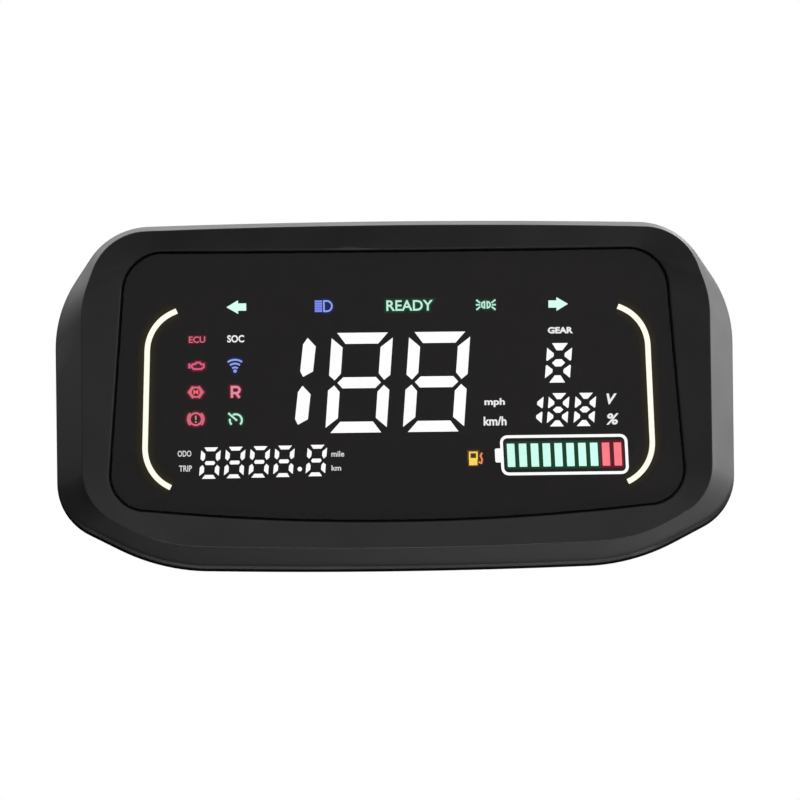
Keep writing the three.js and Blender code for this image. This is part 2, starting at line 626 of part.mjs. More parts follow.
function mainBoard() {
  const [frontY, backY] = [MAIN_BOARD_FRONT_Y, MAIN_BOARD_BACK_Y];
  const { width, height, radius } = MAIN_BOARD;
  const sheet = slab(roundedRectangle(0, 0, width, height, radius), frontY, backY);
  const holeRadius = SMALL_SCREW.shank + HOLE_GAP;
  return cut(sheet, ...BOARD_SCREWS.map((at) => post(at, holeRadius, frontY - PAST, backY + PAST, 12)));
}

// A cross-recessed screw along Y, head towards `way` (+1 is the back).
function screw([x, z], seatY, way, { shank, length, head, headHeight }) {
  const profile = [
    [0, -length],
    [shank, 1 - length],
    [shank, 0],
    [head, 0],
    [head, headHeight * 0.6],
    [head * 0.7, headHeight],
    [0, headHeight],
  ];
  const body = turned([0, 0], profile, 10);
  const slot = (w, h) => new THREE.BoxGeometry(w, headHeight, h).translate(0, headHeight, 0);
  const [span, width] = [head * 1.1, 0.6];
  const recess = join(slot(span, width), slot(width, span));
  const made = cut(body, recess);
  if (way < 0) made.rotateX(Math.PI);
  return made.translate(x, seatY, z);
}

// A threaded insert with a groove round its middle.
function insert(at) {
  const { radius, bore, length, sunk, gap } = INSERT;
  const outer = radius - gap;
  const back = MOUNT_Y - sunk;
  const front = back - length;
  const [low, high] = [-1, 1].map((way) => (front + back + way * INSERT_GROOVE.width) / 2);
  const waist = outer - INSERT_GROOVE.depth;
  return turned(at, [
    [bore, front], [outer, front], [outer, low], [waist, low],
    [waist, high], [outer, high], [outer, back], [bore, back], [bore, front],
  ], 16);
}

// A pressed-in cap over the vent membrane: a stem in the cover's bore and a domed head outside.
function ventCap() {
  const stem = VENT_PAD.bore - FIT_GAP;
  const stemFront = COVER_INSIDE_Y - 0.5;
  const seat = VENT_PAD.back + 0.1;
  const { radius, chamfer, back } = VENT_HEAD;
  return turned(VENT, [
    [0, stemFront], [stem, stemFront], [stem, seat], [radius, seat],
    [radius, back - chamfer], [radius - chamfer, back], [0, back],
  ]);
}

// Rubber grommet: a flange inside the wall, a neck through it and a tapered strain relief outside.
function grommet() {
  const bore = CABLE_RADIUS + CABLE_GRIP_GAP;
  const neck = OUTLET_PAD.bore - 0.1;
  const inside = { radius: 6.6, front: CABLE_START_Y, back: COVER_INSIDE_Y - 0.1 };
  const outside = { radius: 6.9, front: OUTLET_PAD.back + 0.1, back: -2.4 };
  const relief = { radius: 5.6, front: -1.9, tip: neck, back: 4.5 };
  return turned(OUTLET, [
    [bore, inside.front], [inside.radius, inside.front], [inside.radius, inside.back], [neck, inside.back],
    [neck, outside.front], [outside.radius, outside.front], [outside.radius, outside.back],
    [relief.radius, relief.front], [relief.tip, relief.back], [bore, relief.back], [bore, inside.front],
  ]);
}

function cable() {
  const [x, z] = OUTLET;
  const at = (px, py) => new THREE.Vector3(px, py, z);
  const [bendStart, bendEnd] = [at(x, CABLE_RUN_Y - CABLE_BEND), at(x + CABLE_BEND, CABLE_RUN_Y)];
  const reach = CABLE_BEND * 0.552; // Bezier handle of a quarter circle
  const bend = [at(x, bendStart.y + reach), at(bendEnd.x - reach, CABLE_RUN_Y)];
  const path = new THREE.CurvePath();
  path.add(new THREE.LineCurve3(at(x, CABLE_START_Y), bendStart));
  path.add(new THREE.CubicBezierCurve3(bendStart, ...bend, bendEnd));
  path.add(new THREE.LineCurve3(bendEnd, at(PLUG_START_X + 4, CABLE_RUN_Y)));
  const section = new THREE.Shape().absarc(0, 0, CABLE_RADIUS, 0, Math.PI * 2);
  return new THREE.ExtrudeGeometry(section, {
    steps: 28,
    extrudePath: path,
    curveSegments: 8,
    bevelEnabled: false,
  });
}

// A box from [x0, y0, z0] to [x1, y1, z1].
function box([x0, y0, z0], [x1, y1, z1]) {
  const centre = [(x0 + x1) / 2, (y0 + y1) / 2, (z0 + z1) / 2];
  return new THREE.BoxGeometry(x1 - x0, y1 - y0, z1 - z0).translate(...centre);
}

const plugZ = OUTLET[1];
const gripX = PLUG_START_X + COLLAR.length;
const noseX = gripX + GRIP.length;
const plugEndX = noseX + NOSE.length;
const latchPivot = { x: gripX + LATCH_PIN.fromGrip, y: CABLE_RUN_Y + GRIP.depth / 2 + LATCH.lift };

// A box of the pigtail: x from x0 to x1, centred on the cable's run in Y and Z, then moved by dy and dz.
function plugBox(x0, x1, depth, height, dy = 0, dz = 0) {
  const [y, z] = [CABLE_RUN_Y + dy, plugZ + dz];
  return box([x0, y - depth / 2, z - height / 2], [x1, y + depth / 2, z + height / 2]);
}

// Turned and lofted pieces of the pigtail are made along Y and laid along +X from startX.
function alongCable(geometry, startX) {
  return geometry.rotateZ(-Math.PI / 2).translate(startX, CABLE_RUN_Y, plugZ);
}

// Calls make(row, column) for each of the terminal ways.
function perWay(make) {
  return WAYS.rows.flatMap((row) => WAYS.columns.map((column) => make(row, column)));
}

// The two lugs that hold the ends of the latch's pin.
function latchEars() {
  const { x, y } = latchPivot;
  const { depth, thickness, gap } = LATCH_EAR;
  const outwards = LATCH.width / 2 + gap + thickness / 2;
  return [-1, 1].map((side) => {
    const z = plugZ + side * outwards;
    const [low, high] = [y - LATCH.lift - PAST, y + depth];
    return box([x - depth, low, z - thickness / 2], [x + depth, high, z + thickness / 2]);
  });
}

function plugBody() {
  const { radius } = COLLAR;
  const collarEnd = COLLAR.length + PAST;
  const collarProfile = [[0, 0], [radius, 0], [radius, collarEnd], [0, collarEnd]];
  const collar = alongCable(turned([0, 0], collarProfile), PLUG_START_X);
  const grip = plugBox(gripX, noseX, GRIP.depth, GRIP.height);
  const nose = plugBox(noseX - PAST, plugEndX, NOSE.depth, NOSE.height);
  const pinHole = latchPin(LATCH_PIN.radius + LATCH_PIN.gap, LATCH.width + 6);
  const { size, depth: wayDepth } = WAYS;
  const way = (row, column) => plugBox(plugEndX - wayDepth, plugEndX + PAST, size, size, row, column);
  const { depth, height, length, gap } = LOCK;
  const lockSlot = plugBox(plugEndX - length - gap, plugEndX + PAST, depth + 2 * gap, height + 2 * gap);
  const bore = BOOT.radius + 0.2;
  const entryEnd = BOOT.front + 1.5;
  const entryProfile = [[0, -PAST], [bore, -PAST], [bore, entryEnd], [0, entryEnd]];
  const entry = alongCable(turned([0, 0], entryProfile), PLUG_START_X);
  return cut(join(collar, grip, nose, ...latchEars()), pinHole, ...perWay(way), lockSlot, entry);
}

function latchPin(radius, length) {
  return new THREE.CylinderGeometry(radius, radius, length, 16)
    .rotateX(Math.PI / 2)
    .translate(latchPivot.x, latchPivot.y, plugZ);
}

// A lever over the plug: pressing its rear end lifts the hook at its front end.
function plugLatch() {
  const { width, back, front, thickness, hook } = LATCH;
  const { x, y } = latchPivot;
  const [low, high] = [y - thickness / 2, y + thickness / 2];
  const part = (x0, x1, y0, y1, inset = 0) => {
    const half = width / 2 - inset;
    return box([x + x0, y0, plugZ - half], [x + x1, y1, plugZ + half]);
  };
  const lever = part(-back, front, low, high);
  const thumbPad = part(-back, 3 - back, y, high + 0.9);
  const hookBlock = part(front - 2, front, low - hook, y, 1);
  return join(lever, thumbPad, hookBlock, latchPin(LATCH_PIN.radius, width + 2 * LATCH_PIN.overhang));
}

// Secondary lock: a comb that slides into the plug's face between the two rows of terminals.
function plugLock() {
  return plugBox(plugEndX - LOCK.length, plugEndX - LOCK.recess, LOCK.depth, LOCK.height);
}

// A ribbed ring that seals the nose in the mating half.
function plugSeal() {
  const { ribs, pitch, gap } = PLUG_SEAL;
  const ring = (grow) => roundedRectangle(0, 0, NOSE.depth + 2 * grow, NOSE.height + 2 * grow, 1 + grow, 2);
  const rings = ribs.map((grow, i) => [ring(grow), i * pitch]);
  const opening = plugBox(noseX - PAST, plugEndX, NOSE.depth + 2 * gap, NOSE.height + 2 * gap);
  return cut(alongCable(loft(rings, false), noseX + FIT_GAP), opening);
}

function terminal(row, column) {
  const { size, length, recess } = TERMINAL;
  return plugBox(plugEndX - recess - length, plugEndX - recess, size, size, row, column);
}

function cableBoot() {
  const bore = CABLE_RADIUS + CABLE_GRIP_GAP;
  const { radius, back, front } = BOOT;
  const profile = [[bore, -back], [radius, -back], [radius, front], [bore, front], [bore, -back]];
  return alongCable(turned([0, 0], profile), PLUG_START_X);
}

// ---- assembly ----

const cluster = new THREE.Group();

function add(name, geometry, look) {
  const mesh = new THREE.Mesh(geometry, look);
  mesh.name = name;
  cluster.add(mesh);
}

add("front_bezel", frontBezel(), BLACK_ABS);
add("lens", plate(lensEdge, LENS_FRONT_Y, LENS_BACK_Y), SMOKED_ACRYLIC);
add("legend_film", plate(lensEdge, FILM_FRONT_Y, FILM_BACK_Y), MASK_BLACK);
add("lens_tape", lensTape(), FOAM_TAPE);
add("mask_plate", maskPlate(), MASK_BLACK);
add("segment_diffuser", segmentDiffuser(), DIFFUSE_WHITE);
add("reflector", reflector(), REFLECTOR_WHITE);
const lightBar = (side) => slab(halo(side, HALO.width), MASK_FRONT_Y + STACK_GAP, REFLECTOR_BACK_Y - 2);
add("light_bar_left", lightBar(-1), LIGHT_BAR);
add("light_bar_right", lightBar(1), LIGHT_BAR);
add("display_board", displayBoard(), BOARD_GREEN);
add("main_board", mainBoard(), BOARD_GREEN);

// Components on the back of the main board, as block(x, z, width, height, front, back).
const onBack = MAIN_BOARD_BACK_Y;
add("mcu_chip", block(8, 4, 10, 10, onBack, onBack + 1.4), CHIP_BLACK);
add("bus_chip", block(-16, 6, 5, 6, onBack, onBack + 1.5), CHIP_BLACK);
add("power_regulator", block(26, -14, 10, 9, onBack, onBack + 2.4), CHIP_BLACK);
add("power_inductor", slab(roundedRectangle(40, -10, 10, 10, 2), onBack, onBack + 4.6), CHIP_BLACK);
add("wire_header", block(...OUTLET, 16, 8, onBack, WIRE_HEADER_BACK_Y), NYLON_WHITE);
add("wire_plug", block(...OUTLET, 14, 7, WIRE_HEADER_BACK_Y, WIRE_PLUG_BACK_Y), NYLON_WHITE);

// Components between the boards.
const onFront = MAIN_BOARD_FRONT_Y;
const sides = { left: -1, right: 1 };
for (const [name, side] of Object.entries(sides)) {
  add(`capacitor_${name}`, post([side * 20, 14], 4, onFront - CAPACITOR_HEIGHT, onFront, 24), CAN_SILVER);
  add(`board_header_${name}`, block(side * 44, 0, 2.5, 22, DISPLAY_BOARD_BACK_Y, onFront), CHIP_BLACK);
}

add("rear_cover", rearCover(), BLACK_ABS);
add("perimeter_seal", perimeterSeal(), RUBBER);
add("vent_cap", ventCap(), VENT_GREY);
POSTS.forEach((at, i) => add(`mount_insert_${i + 1}`, insert(at), BRASS));

function addScrews(name, places, seatY, way, size) {
  places.forEach((at, i) => add(`${name}_${i + 1}`, screw(at, seatY, way, size), STEEL));
}
addScrews("case_screw", CASE_SCREWS, COVER_FLANGE_BACK_Y - COUNTERBORE, 1, CASE_SCREW);
addScrews("module_screw", MODULE_SCREWS, DISPLAY_BOARD_BACK_Y, 1, SMALL_SCREW);
addScrews("board_screw", BOARD_SCREWS, MAIN_BOARD_FRONT_Y, -1, SMALL_SCREW);

add("cable_grommet", grommet(), RUBBER);
add("cable", cable(), CABLE_PVC);
add("cable_boot", cableBoot(), RUBBER);
add("plug_body", plugBody(), PLUG_BLACK);
add("plug_latch", plugLatch(), PLUG_BLACK);
add("plug_lock", plugLock(), LOCK_ORANGE);
add("plug_seal", plugSeal(), SEAL_ORANGE);
perWay(terminal).forEach((geometry, i) => add(`terminal_${i + 1}`, geometry, BRASS));

export default cluster;
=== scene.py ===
"""Looks for the motorcycle instrument cluster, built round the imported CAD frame."""

import math

import bmesh
import bpy
from mathutils import Matrix, Vector


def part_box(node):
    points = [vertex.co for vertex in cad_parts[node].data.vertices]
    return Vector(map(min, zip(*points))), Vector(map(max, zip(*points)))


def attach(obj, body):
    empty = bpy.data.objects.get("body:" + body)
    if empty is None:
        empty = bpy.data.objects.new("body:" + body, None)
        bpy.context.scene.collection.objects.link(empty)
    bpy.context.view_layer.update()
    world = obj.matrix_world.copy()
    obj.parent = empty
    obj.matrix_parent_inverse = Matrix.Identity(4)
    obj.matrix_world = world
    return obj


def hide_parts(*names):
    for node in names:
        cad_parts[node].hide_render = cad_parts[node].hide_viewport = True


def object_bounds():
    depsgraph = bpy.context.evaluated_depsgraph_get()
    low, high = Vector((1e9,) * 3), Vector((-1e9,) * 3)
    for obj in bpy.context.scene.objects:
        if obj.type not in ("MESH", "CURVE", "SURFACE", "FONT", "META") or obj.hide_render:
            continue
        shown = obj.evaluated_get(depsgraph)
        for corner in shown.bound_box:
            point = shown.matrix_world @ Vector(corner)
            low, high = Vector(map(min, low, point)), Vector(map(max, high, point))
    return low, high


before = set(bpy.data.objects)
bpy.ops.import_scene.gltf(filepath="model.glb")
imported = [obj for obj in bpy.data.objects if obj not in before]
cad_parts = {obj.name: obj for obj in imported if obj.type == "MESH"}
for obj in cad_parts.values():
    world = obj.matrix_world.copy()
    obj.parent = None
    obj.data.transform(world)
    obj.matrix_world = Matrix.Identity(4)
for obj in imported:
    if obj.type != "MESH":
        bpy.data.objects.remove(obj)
cad_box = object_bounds()
MM = 0.001
BODY = "cluster"


# ---- places read from the frame ----

def span(node, axis):
    """Lowest and highest coordinate of a CAD node along an axis, in millimetres."""
    low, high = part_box(node)
    return low[axis] / MM, high[axis] / MM


RIDGE_Y, PARTING_Y = span("front_bezel", 1)
LENS_FRONT_Y, LENS_BACK_Y = span("lens", 1)
FILM_Y, FILM_BACK_Y = span("legend_film", 1)
MAIN_BOARD_BACK_Y = span("main_board", 1)[1]
WINDOW_EDGE_Y = RIDGE_Y + 2.5
RIM_Y = RIDGE_Y + 14
LEDGE_FRONT_Y = span("lens_tape", 1)[1]
LEDGE_BACK_Y = span("mask_plate", 1)[0] - 0.1

# ---- outlines, in millimetres ----
# Each gives the corners of its right half as (x, z, radius), from bottom to top; the left half mirrors it.
# "top" and "bottom" are how far those two edges bow out at their middle.

RIM = {
    "corners": [(59.3, -43.6, 52), (86, -29.9, 14.6), (86, 22.3, 31), (71.7, 43.8, 17.8)],
    "top": 0.75,
    "bottom": 0.65,
}
RIDGE = {
    "corners": [(58.8, -36.3, 41), (78, -25.4, 13.4), (77.8, 24.4, 25), (71.5, 41.7, 14.4)],
    "top": 0.9,
    "bottom": 1,
}
WINDOW = {"corners": [(72.5, -27.7, 9.2), (67.3, 36.8, 10.4)], "top": -0.2, "bottom": 3.3}
ARC_STEPS = 12
EDGE_STEPS = 8


def corner_edges(outline):
    """For each corner of the right half: its place, the directions of its two edges and its radius."""
    points = [Vector(c[:2]) for c in outline["corners"]]
    around = [Vector((-points[0].x, points[0].y)), *points, Vector((-points[-1].x, points[-1].y))]
    corners = []
    for before, here, after, (*_, radius) in zip(around, points, around[2:], outline["corners"]):
        corners.append((here, [(before - here).normalized(), (after - here).normalized()], radius))
    return corners


def two_per_corner(outline):
    """Splits each corner of a four-cornered outline in two, so that it matches an eight-cornered one."""
    doubled = []
    for here, edges, r in corner_edges(outline):
        angle = edges[0].angle(edges[1])
        reach = r / math.tan(angle / 2) - r * math.tan((math.pi - angle) / 4)
        doubled += [(*(here + edge * reach), r * 0.98) for edge in edges]
    return {**outline, "corners": doubled}


def ring_points(outline):
    """Points round a closed outline, anticlockwise from the front, as (x, z) vectors."""
    right = [(Vector(c[:2]), c[2]) for c in outline["corners"]]
    corners = right + [(Vector((-p.x, p.y)), r) for p, r in reversed(right)]
    arcs = []
    for i, (p, r) in enumerate(corners):
        before = (corners[i - 1][0] - p).normalized()
        after = (corners[(i + 1) % len(corners)][0] - p).normalized()
        half = before.angle(after) / 2
        centre = p + (before + after).normalized() * r / math.sin(half)
        start = p + before * r / math.tan(half) - centre
        turn = math.pi - 2 * half
        arcs.append([centre + Matrix.Rotation(turn * k / ARC_STEPS, 2) @ start for k in range(ARC_STEPS + 1)])
    bows = {len(right) - 1: outline["top"], len(corners) - 1: outline["bottom"]}
    ring = []
    for i, bend in enumerate(arcs):
        start, end = bend[-1], arcs[(i + 1) % len(arcs)][0]
        along = end - start
        out = Vector((along.y, -along.x)).normalized() * 4 * bows.get(i, 0)
        steps = 4 * EDGE_STEPS if i in bows else EDGE_STEPS
        shares = [k / steps for k in range(1, steps)]
        ring += bend + [start + along * t + out * t * (1 - t) for t in shares]
    return ring


def outward(ring, i):
    """The direction out of a closed outline at one of its points."""
    along = ring[(i + 1) % len(ring)] - ring[i - 1]
    return Vector((along.y, -along.x)).normalized()


def offset(ring, distance):
    """Moves a closed outline along its normals; a negative distance goes inwards."""
    return [p + outward(ring, i) * distance for i, p in enumerate(ring)]


def inset(outline, distance, least_radius=3.0):
    """The outline moved inwards by a large distance, with its corners kept round."""
    corners = []
    for here, edges, r in corner_edges(outline):
        half = edges[0].angle(edges[1]) / 2
        moved = here + (edges[0] + edges[1]).normalized() * distance / math.sin(half)
        corners.append((moved.x, moved.y, max(r - distance, least_radius)))
    return {**outline, "corners": corners}


rim = ring_points(RIM)
ridge = ring_points(RIDGE)
window_edge = ring_points(two_per_corner(WINDOW))


# ---- mesh helpers ----

def at_depth(ring, y):
    return [Vector((p.x, y, p.y)) for p in ring]


def soften(rings, reach, steps=5, closed=True, hold=0):
    """Rounds each corner ring of a profile by its reach in millimetres (0 keeps it sharp).

    With hold, one more ring that many reaches away on either side keeps the painted edge highlight off the
    bands between.
    """
    made = []
    curve = [s / steps for s in range(steps + 1)]
    places = [(t, 1) for t in curve]
    if hold:
        places = [(0, hold), *places, (1, hold)]
    for k, (ring, distance) in enumerate(zip(rings, reach)):
        ends = not closed and k in (0, len(rings) - 1)
        if distance == 0 or ends:
            made.append(ring)
            continue
        before, after = rings[k - 1], rings[(k + 1) % len(rings)]
        for t, times in places:
            row = []
            for p, a, b in zip(ring, before, after):
                start = p + (a - p).normalized() * min(distance, 0.49 * (a - p).length / times) * times
                end = p + (b - p).normalized() * min(distance, 0.49 * (b - p).length / times) * times
                row.append(start * (1 - t) ** 2 + p * 2 * t * (1 - t) + end * t ** 2)
            made.append(row)
    return made


def add_object(name, data):
    obj = bpy.data.objects.new(name, data)
    bpy.context.scene.collection.objects.link(obj)
    return obj


def make_object(name, vertices, faces, material, body=BODY, smooth=True):
    mesh = bpy.data.meshes.new(name)
    mesh.from_pydata([v * MM for v in vertices], [], faces)
    mesh.validate()
    solid = bmesh.new()
    solid.from_mesh(mesh)
    bmesh.ops.recalc_face_normals(solid, faces=solid.faces)
    solid.to_mesh(mesh)
    solid.free()
    for polygon in mesh.polygons:
        polygon.use_smooth = smooth
    obj = add_object(name, mesh)
    obj.data.materials.append(material)
    if body:
        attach(obj, body)
    return obj


def stand_in(obj, node_name):
    """Hides a CAD node, so that a piece shows in its place."""
    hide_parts(node_name)


def loft(name, rings, material, closed=True, **options):
    """Joins rings of equal length into a tube: a closed one meets its first ring, an open one is capped."""
    count = len(rings[0])
    vertices = [p for ring in rings for p in ring]
    faces = []
    for r in range(len(rings) if closed else len(rings) - 1):
        a, b = r * count, (r + 1) % len(rings) * count
        faces += [(a + i, b + i, b + (i + 1) % count, a + (i + 1) % count) for i in range(count)]
    if not closed:
        last = (len(rings) - 1) * count
        faces += [tuple(range(count)), tuple(last + i for i in reversed(range(count)))]
    return make_object(name, vertices, faces, material, **options)


def arc(centre, radius, start, end, steps=16):
    """Points on an arc, angles in degrees anticlockwise from the right."""
    turns = [math.radians(start + (end - start) * k / steps) for k in range(steps + 1)]
    return [Vector((centre[0] + radius * math.cos(a), centre[1] + radius * math.sin(a))) for a in turns]


def circle(centre, radius, steps=24):
    return arc(centre, radius, 0, 360, steps)[:-1]


def rounded_box(x, z, width, height, corner, lean=0.0):
    """A box outline about (x, z) with round corners; lean shifts it sideways by a share of the height."""
    w, h = width / 2 - corner, height / 2 - corner
    outline = []
    for k, (a, b) in enumerate([(w, -h), (w, h), (-w, h), (-w, -h)]):
        outline += arc((a, b), corner, -90 + 90 * k, 90 * k, 5)
    return [Vector((x + p.x + lean * p.y, z + p.y)) for p in outline]


def grown(outline, distance):
    """An outline moved outwards along its normals."""
    turn = 1 if sum(a.cross(b) for a, b in zip(outline, outline[1:] + outline[:1])) > 0 else -1
    moved = []
    for i, p in enumerate(outline):
        into = (p - outline[i - 1]).normalized()
        out = (outline[(i + 1) % len(outline)] - p).normalized()
        normals = Vector((into.y, -into.x)) + Vector((out.y, -out.x))
        moved.append(p + normals.normalized() * distance * turn)
    return moved


def rounded(profile, reach, closed=False):
    """Rounds the corners of a (radius, y) profile; reach is one length, or one for each corner."""
    reaches = reach if isinstance(reach, list) else [reach] * len(profile)
    rings = soften([[Vector(p)] for p in profile], reaches, 3, closed)
    return [tuple(ring[0]) for ring in rings]


def lathe(profile, sides=48):
    """A solid turned about +Y, as (vertices, faces), from a (radius, y) profile.

    The profile runs from the axis back to the axis, or closes on itself.
    """
    vertices, rings = [], []
    for radius, y in profile:
        count = sides if radius > 0 else 1
        rings.append(range(len(vertices), len(vertices) + count))
        turns = [2 * math.pi * k / sides for k in range(count)]
        vertices += [Vector((radius * math.cos(a), y, radius * math.sin(a))) for a in turns]
    on_axis = profile[0][0] == 0
    faces = []
    for a, b in zip(rings, rings[1:] if on_axis else [*rings[1:], rings[0]]):
        for i in range(sides):
            j = (i + 1) % sides
            corners = (a[i % len(a)], b[i % len(b)], b[j % len(b)], a[j % len(a)])
            faces.append(tuple(dict.fromkeys(corners)))
    return vertices, faces


def centre_of(node):
    """Middle of a CAD node in the plane of the display, in millimetres."""
    return Vector((sum(span(node, 0)) / 2, 0, sum(span(node, 2)) / 2))


SHARP = math.radians(40)


def turned(name, node, profile, material, sides=48, body=BODY):
    """A turned piece on a CAD node's axis along Y, with y in the profile as in the frame."""
    vertices, faces = lathe(profile, sides)
    middle = centre_of(node)
    made = make_object(name, [v + middle for v in vertices], faces, material, body)
    made.data.set_sharp_from_angle(angle=SHARP)
    return made


def carve(obj, tools, operation):
    """Joins tools to an object or cuts them from it; overlapping tools go in separate calls."""
    for tool in tools:
        modifier = obj.modifiers.new("carve", "BOOLEAN")
        modifier.object, modifier.operation, modifier.solver = tool, operation, "EXACT"
    graph = bpy.context.evaluated_depsgraph_get()
    mesh = bpy.data.meshes.new_from_object(obj.evaluated_get(graph))
    obj.modifiers.clear()
    obj.data = mesh
    for tool in tools:
        bpy.data.objects.remove(tool)
    mesh.set_sharp_from_angle(angle=SHARP)


# Their shortest edges would otherwise hold back the rounding of all the others.
LOOSE_BEVELS = ("plug_body", "plug_latch", "plug_lock")


def ease_edges(node_name, width, material):
    """Keeps a CAD node, and gives it rounded edges and a material of its own."""
    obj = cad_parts[node_name]
    weld = obj.modifiers.new("weld", "WELD")
    weld.merge_threshold = 0.001 * MM
    flat = obj.modifiers.new("flat", "DECIMATE")
    flat.decimate_type, flat.angle_limit = "DISSOLVE", math.radians(1)
    if width:
        bevel = obj.modifiers.new("bevel", "BEVEL")
        bevel.width, bevel.segments = width * MM, 2
        bevel.limit_method, bevel.angle_limit = "ANGLE", math.radians(35)
        bevel.use_clamp_overlap = node_name not in LOOSE_BEVELS
    obj.modifiers.new("even_normals", "WEIGHTED_NORMAL").keep_sharp = True
    obj.data.materials.clear()
    obj.data.materials.append(material)


# ---- materials ----

def start_material(name):
    material = bpy.data.materials.new(name)
    material.use_nodes = True
    material.node_tree.nodes.clear()
    return material, material.node_tree


def finished(material, shader):
    """Connects a shader to the material's output, and returns the material."""
    node(material.node_tree, "OutputMaterial", shader.outputs[0])
    return material


def fill(tree, socket, value):
    """Sets an input to a number or a colour, or links it to another node's output."""
    if isinstance(value, bpy.types.NodeSocket):
        tree.links.new(value, socket)
    else:
        socket.default_value = value


def node(tree, kind, *in_order, **named):
    """Adds a shader node. Values in order set its first inputs, and named ones an input or an attribute."""
    made = tree.nodes.new("ShaderNode" + kind)
    for key, value in named.items():
        name = key.replace("_", " ").lower()
        socket = next((s for s in made.inputs if s.name.lower() == name), None)
        if socket is None:
            setattr(made, key, value)
        else:
            fill(tree, socket, value)
    for socket, value in zip(made.inputs, in_order):
        fill(tree, socket, value)
    return made


def ramp(tree, factor, stops):
    """A colour ramp; stops are (position, grey or colour)."""
    made = node(tree, "ValToRGB", factor)
    elements = made.color_ramp.elements
    while len(elements) < len(stops):
        elements.new(0.5)
    for element, (position, colour) in zip(elements, stops):
        element.position = position
        element.color = (*colour, 1) if isinstance(colour, tuple) else (colour, colour, colour, 1)
    return made.outputs["Color"]


def remap(tree, value, low, high, new_low=0, new_high=1):
    """Carries a value from one range to another, and holds it at the ends."""
    return node(tree, "MapRange", value, low, high, new_low, new_high).outputs[0]


def noise(tree, where, scale, detail):
    return node(tree, "TexNoise", Vector=where, Scale=scale, Detail=detail).outputs["Fac"]


def clouded(tree, factor, colour, variation, low, high):
    """A colour that varies by a share of itself while the factor goes from low to high."""
    dark = tuple(c * (1 - variation) for c in colour)
    light = tuple(min(1, c * (1 + variation)) for c in colour)
    return ramp(tree, factor, [(low, dark), (high, light)])


def blend(tree, factor, first, second):
    """Mixes two colours."""
    made = node(tree, "Mix", data_type="RGBA")
    for socket, value in ((0, factor), (6, first), (7, second)):
        fill(tree, made.inputs[socket], value)
    return made.outputs[2]


def relief(tree, height, depth, strength=0.5):
    """A surface direction tilted by a height, which is depth millimetres where it is 1."""
    return node(tree, "Bump", Strength=strength, Distance=depth * MM, Height=height).outputs[0]


def place(tree):
    """Object coordinates in millimetres."""
    metres = node(tree, "TexCoord").outputs["Object"]
    return node(tree, "VectorMath", metres, operation="SCALE", Scale=1 / MM).outputs[0]


def painted_highlight_edges(tree):
    """1 on convex edges, where a highlight is painted, and 0 elsewhere, from how sharply the mesh bends."""
    return remap(tree, node(tree, "NewGeometry").outputs["Pointiness"], 0.51, 0.58)


def moulded_plastic(
    name, colour, roughness, grain=0.22, depth=0.012, variation=0.2, edge_light=1.6, painted_shade_behind=100
):
    """Satin moulded plastic: fine spark grain, faint flow clouds and a painted highlight that makes edges a
    little lighter.

    Behind the depth in its last argument a painted shade makes it darker and less shiny, on the wall beside
    the parting line.
    """
    material, tree = start_material(name)
    where = place(tree)
    fine = node(tree, "TexVoronoi", Vector=where, Scale=1 / grain).outputs["Distance"]
    clouds = noise(tree, where, 0.05, 4)
    height = node(tree, "Math", fine, noise(tree, where, 0.6 / grain, 3), operation="ADD").outputs[0]
    body = clouded(tree, clouds, colour, variation, 0.35, 0.65)
    # Painted highlight: convex edges are mixed towards a copy of the colour edge_light times as bright.
    edge_highlighted = blend(tree, painted_highlight_edges(tree), body, (*(c * edge_light for c in colour), 1))
    # Painted shade: behind the given depth the colour falls to a fifth and the shine almost to nothing.
    depth_y = node(tree, "SeparateXYZ", where).outputs["Y"]
    matt = (depth_y, painted_shade_behind, painted_shade_behind + 0.2)
    colour_with_painted_shade = node(tree, "VectorMath", edge_highlighted, operation="SCALE", Scale=remap(tree, *matt, 1, 0.2))
    return finished(material, node(
        tree, "BsdfPrincipled",
        Base_Color=colour_with_painted_shade.outputs[0],
        Roughness=ramp(tree, clouds, [(0.3, roughness - 0.04), (0.7, roughness + 0.04)]),
        Specular_IOR_Level=remap(tree, *matt, 0.5, 0.02),
        Normal=relief(tree, height, depth),
    ))


def smoked_lens():
    """Polished tinted acrylic: clear to the display behind it, with a sharp reflection on its front."""
    material, tree = start_material("smoked_lens")
    haze = noise(tree, place(tree), 0.08, 5)
    clear = node(tree, "BsdfTransparent", ramp(tree, haze, [(0.3, 0.80), (0.7, 0.84)]))
    roughness = ramp(tree, haze, [(0.3, 0.03), (0.75, 0.075)])
    shine = node(tree, "BsdfAnisotropic", Color=(1, 1, 1, 1), Roughness=roughness)
    fresnel = node(tree, "Fresnel", IOR=1.49).outputs[0]
    on_front = remap(tree, node(tree, "NewGeometry").outputs["Backfacing"], 0, 1, 1, 0)
    reflected = node(tree, "Math", fresnel, on_front, operation="MULTIPLY").outputs[0]
    return finished(material, node(tree, "MixShader", reflected, clear.outputs[0], shine.outputs[0]))


def printed_film():
    """Matt black display film with a faint warm cast and fine print grain."""
    material, tree = start_material("printed_film")
    where = place(tree)
    clouds = noise(tree, where, 0.03, 3)
    return finished(material, node(
        tree, "BsdfPrincipled",
        Base_Color=ramp(tree, clouds, [(0.3, (0.014, 0.0065, 0.008)), (0.7, (0.018, 0.0085, 0.0095))]),
        Roughness=0.7,
        Specular_IOR_Level=0.2,
        Normal=relief(tree, noise(tree, where, 9, 2), 0.002, 0.15),
    ))


def lit_ink(name, colour, strength=1.6):
    """Backlit translucent ink: a steady glow with the faint mottling of the diffuser behind it."""
    material, tree = start_material(name)
    mottle = noise(tree, place(tree), 0.7, 3)
    dim = tuple(c * 0.94 for c in colour)
    return finished(material, node(
        tree, "BsdfPrincipled",
        Base_Color=(0.002, 0.002, 0.002, 1),
        Roughness=0.5,
        Specular_IOR_Level=0.1,
        Emission_Color=ramp(tree, mottle, [(0.35, dim), (0.65, colour)]),
        Emission_Strength=strength,
    ))


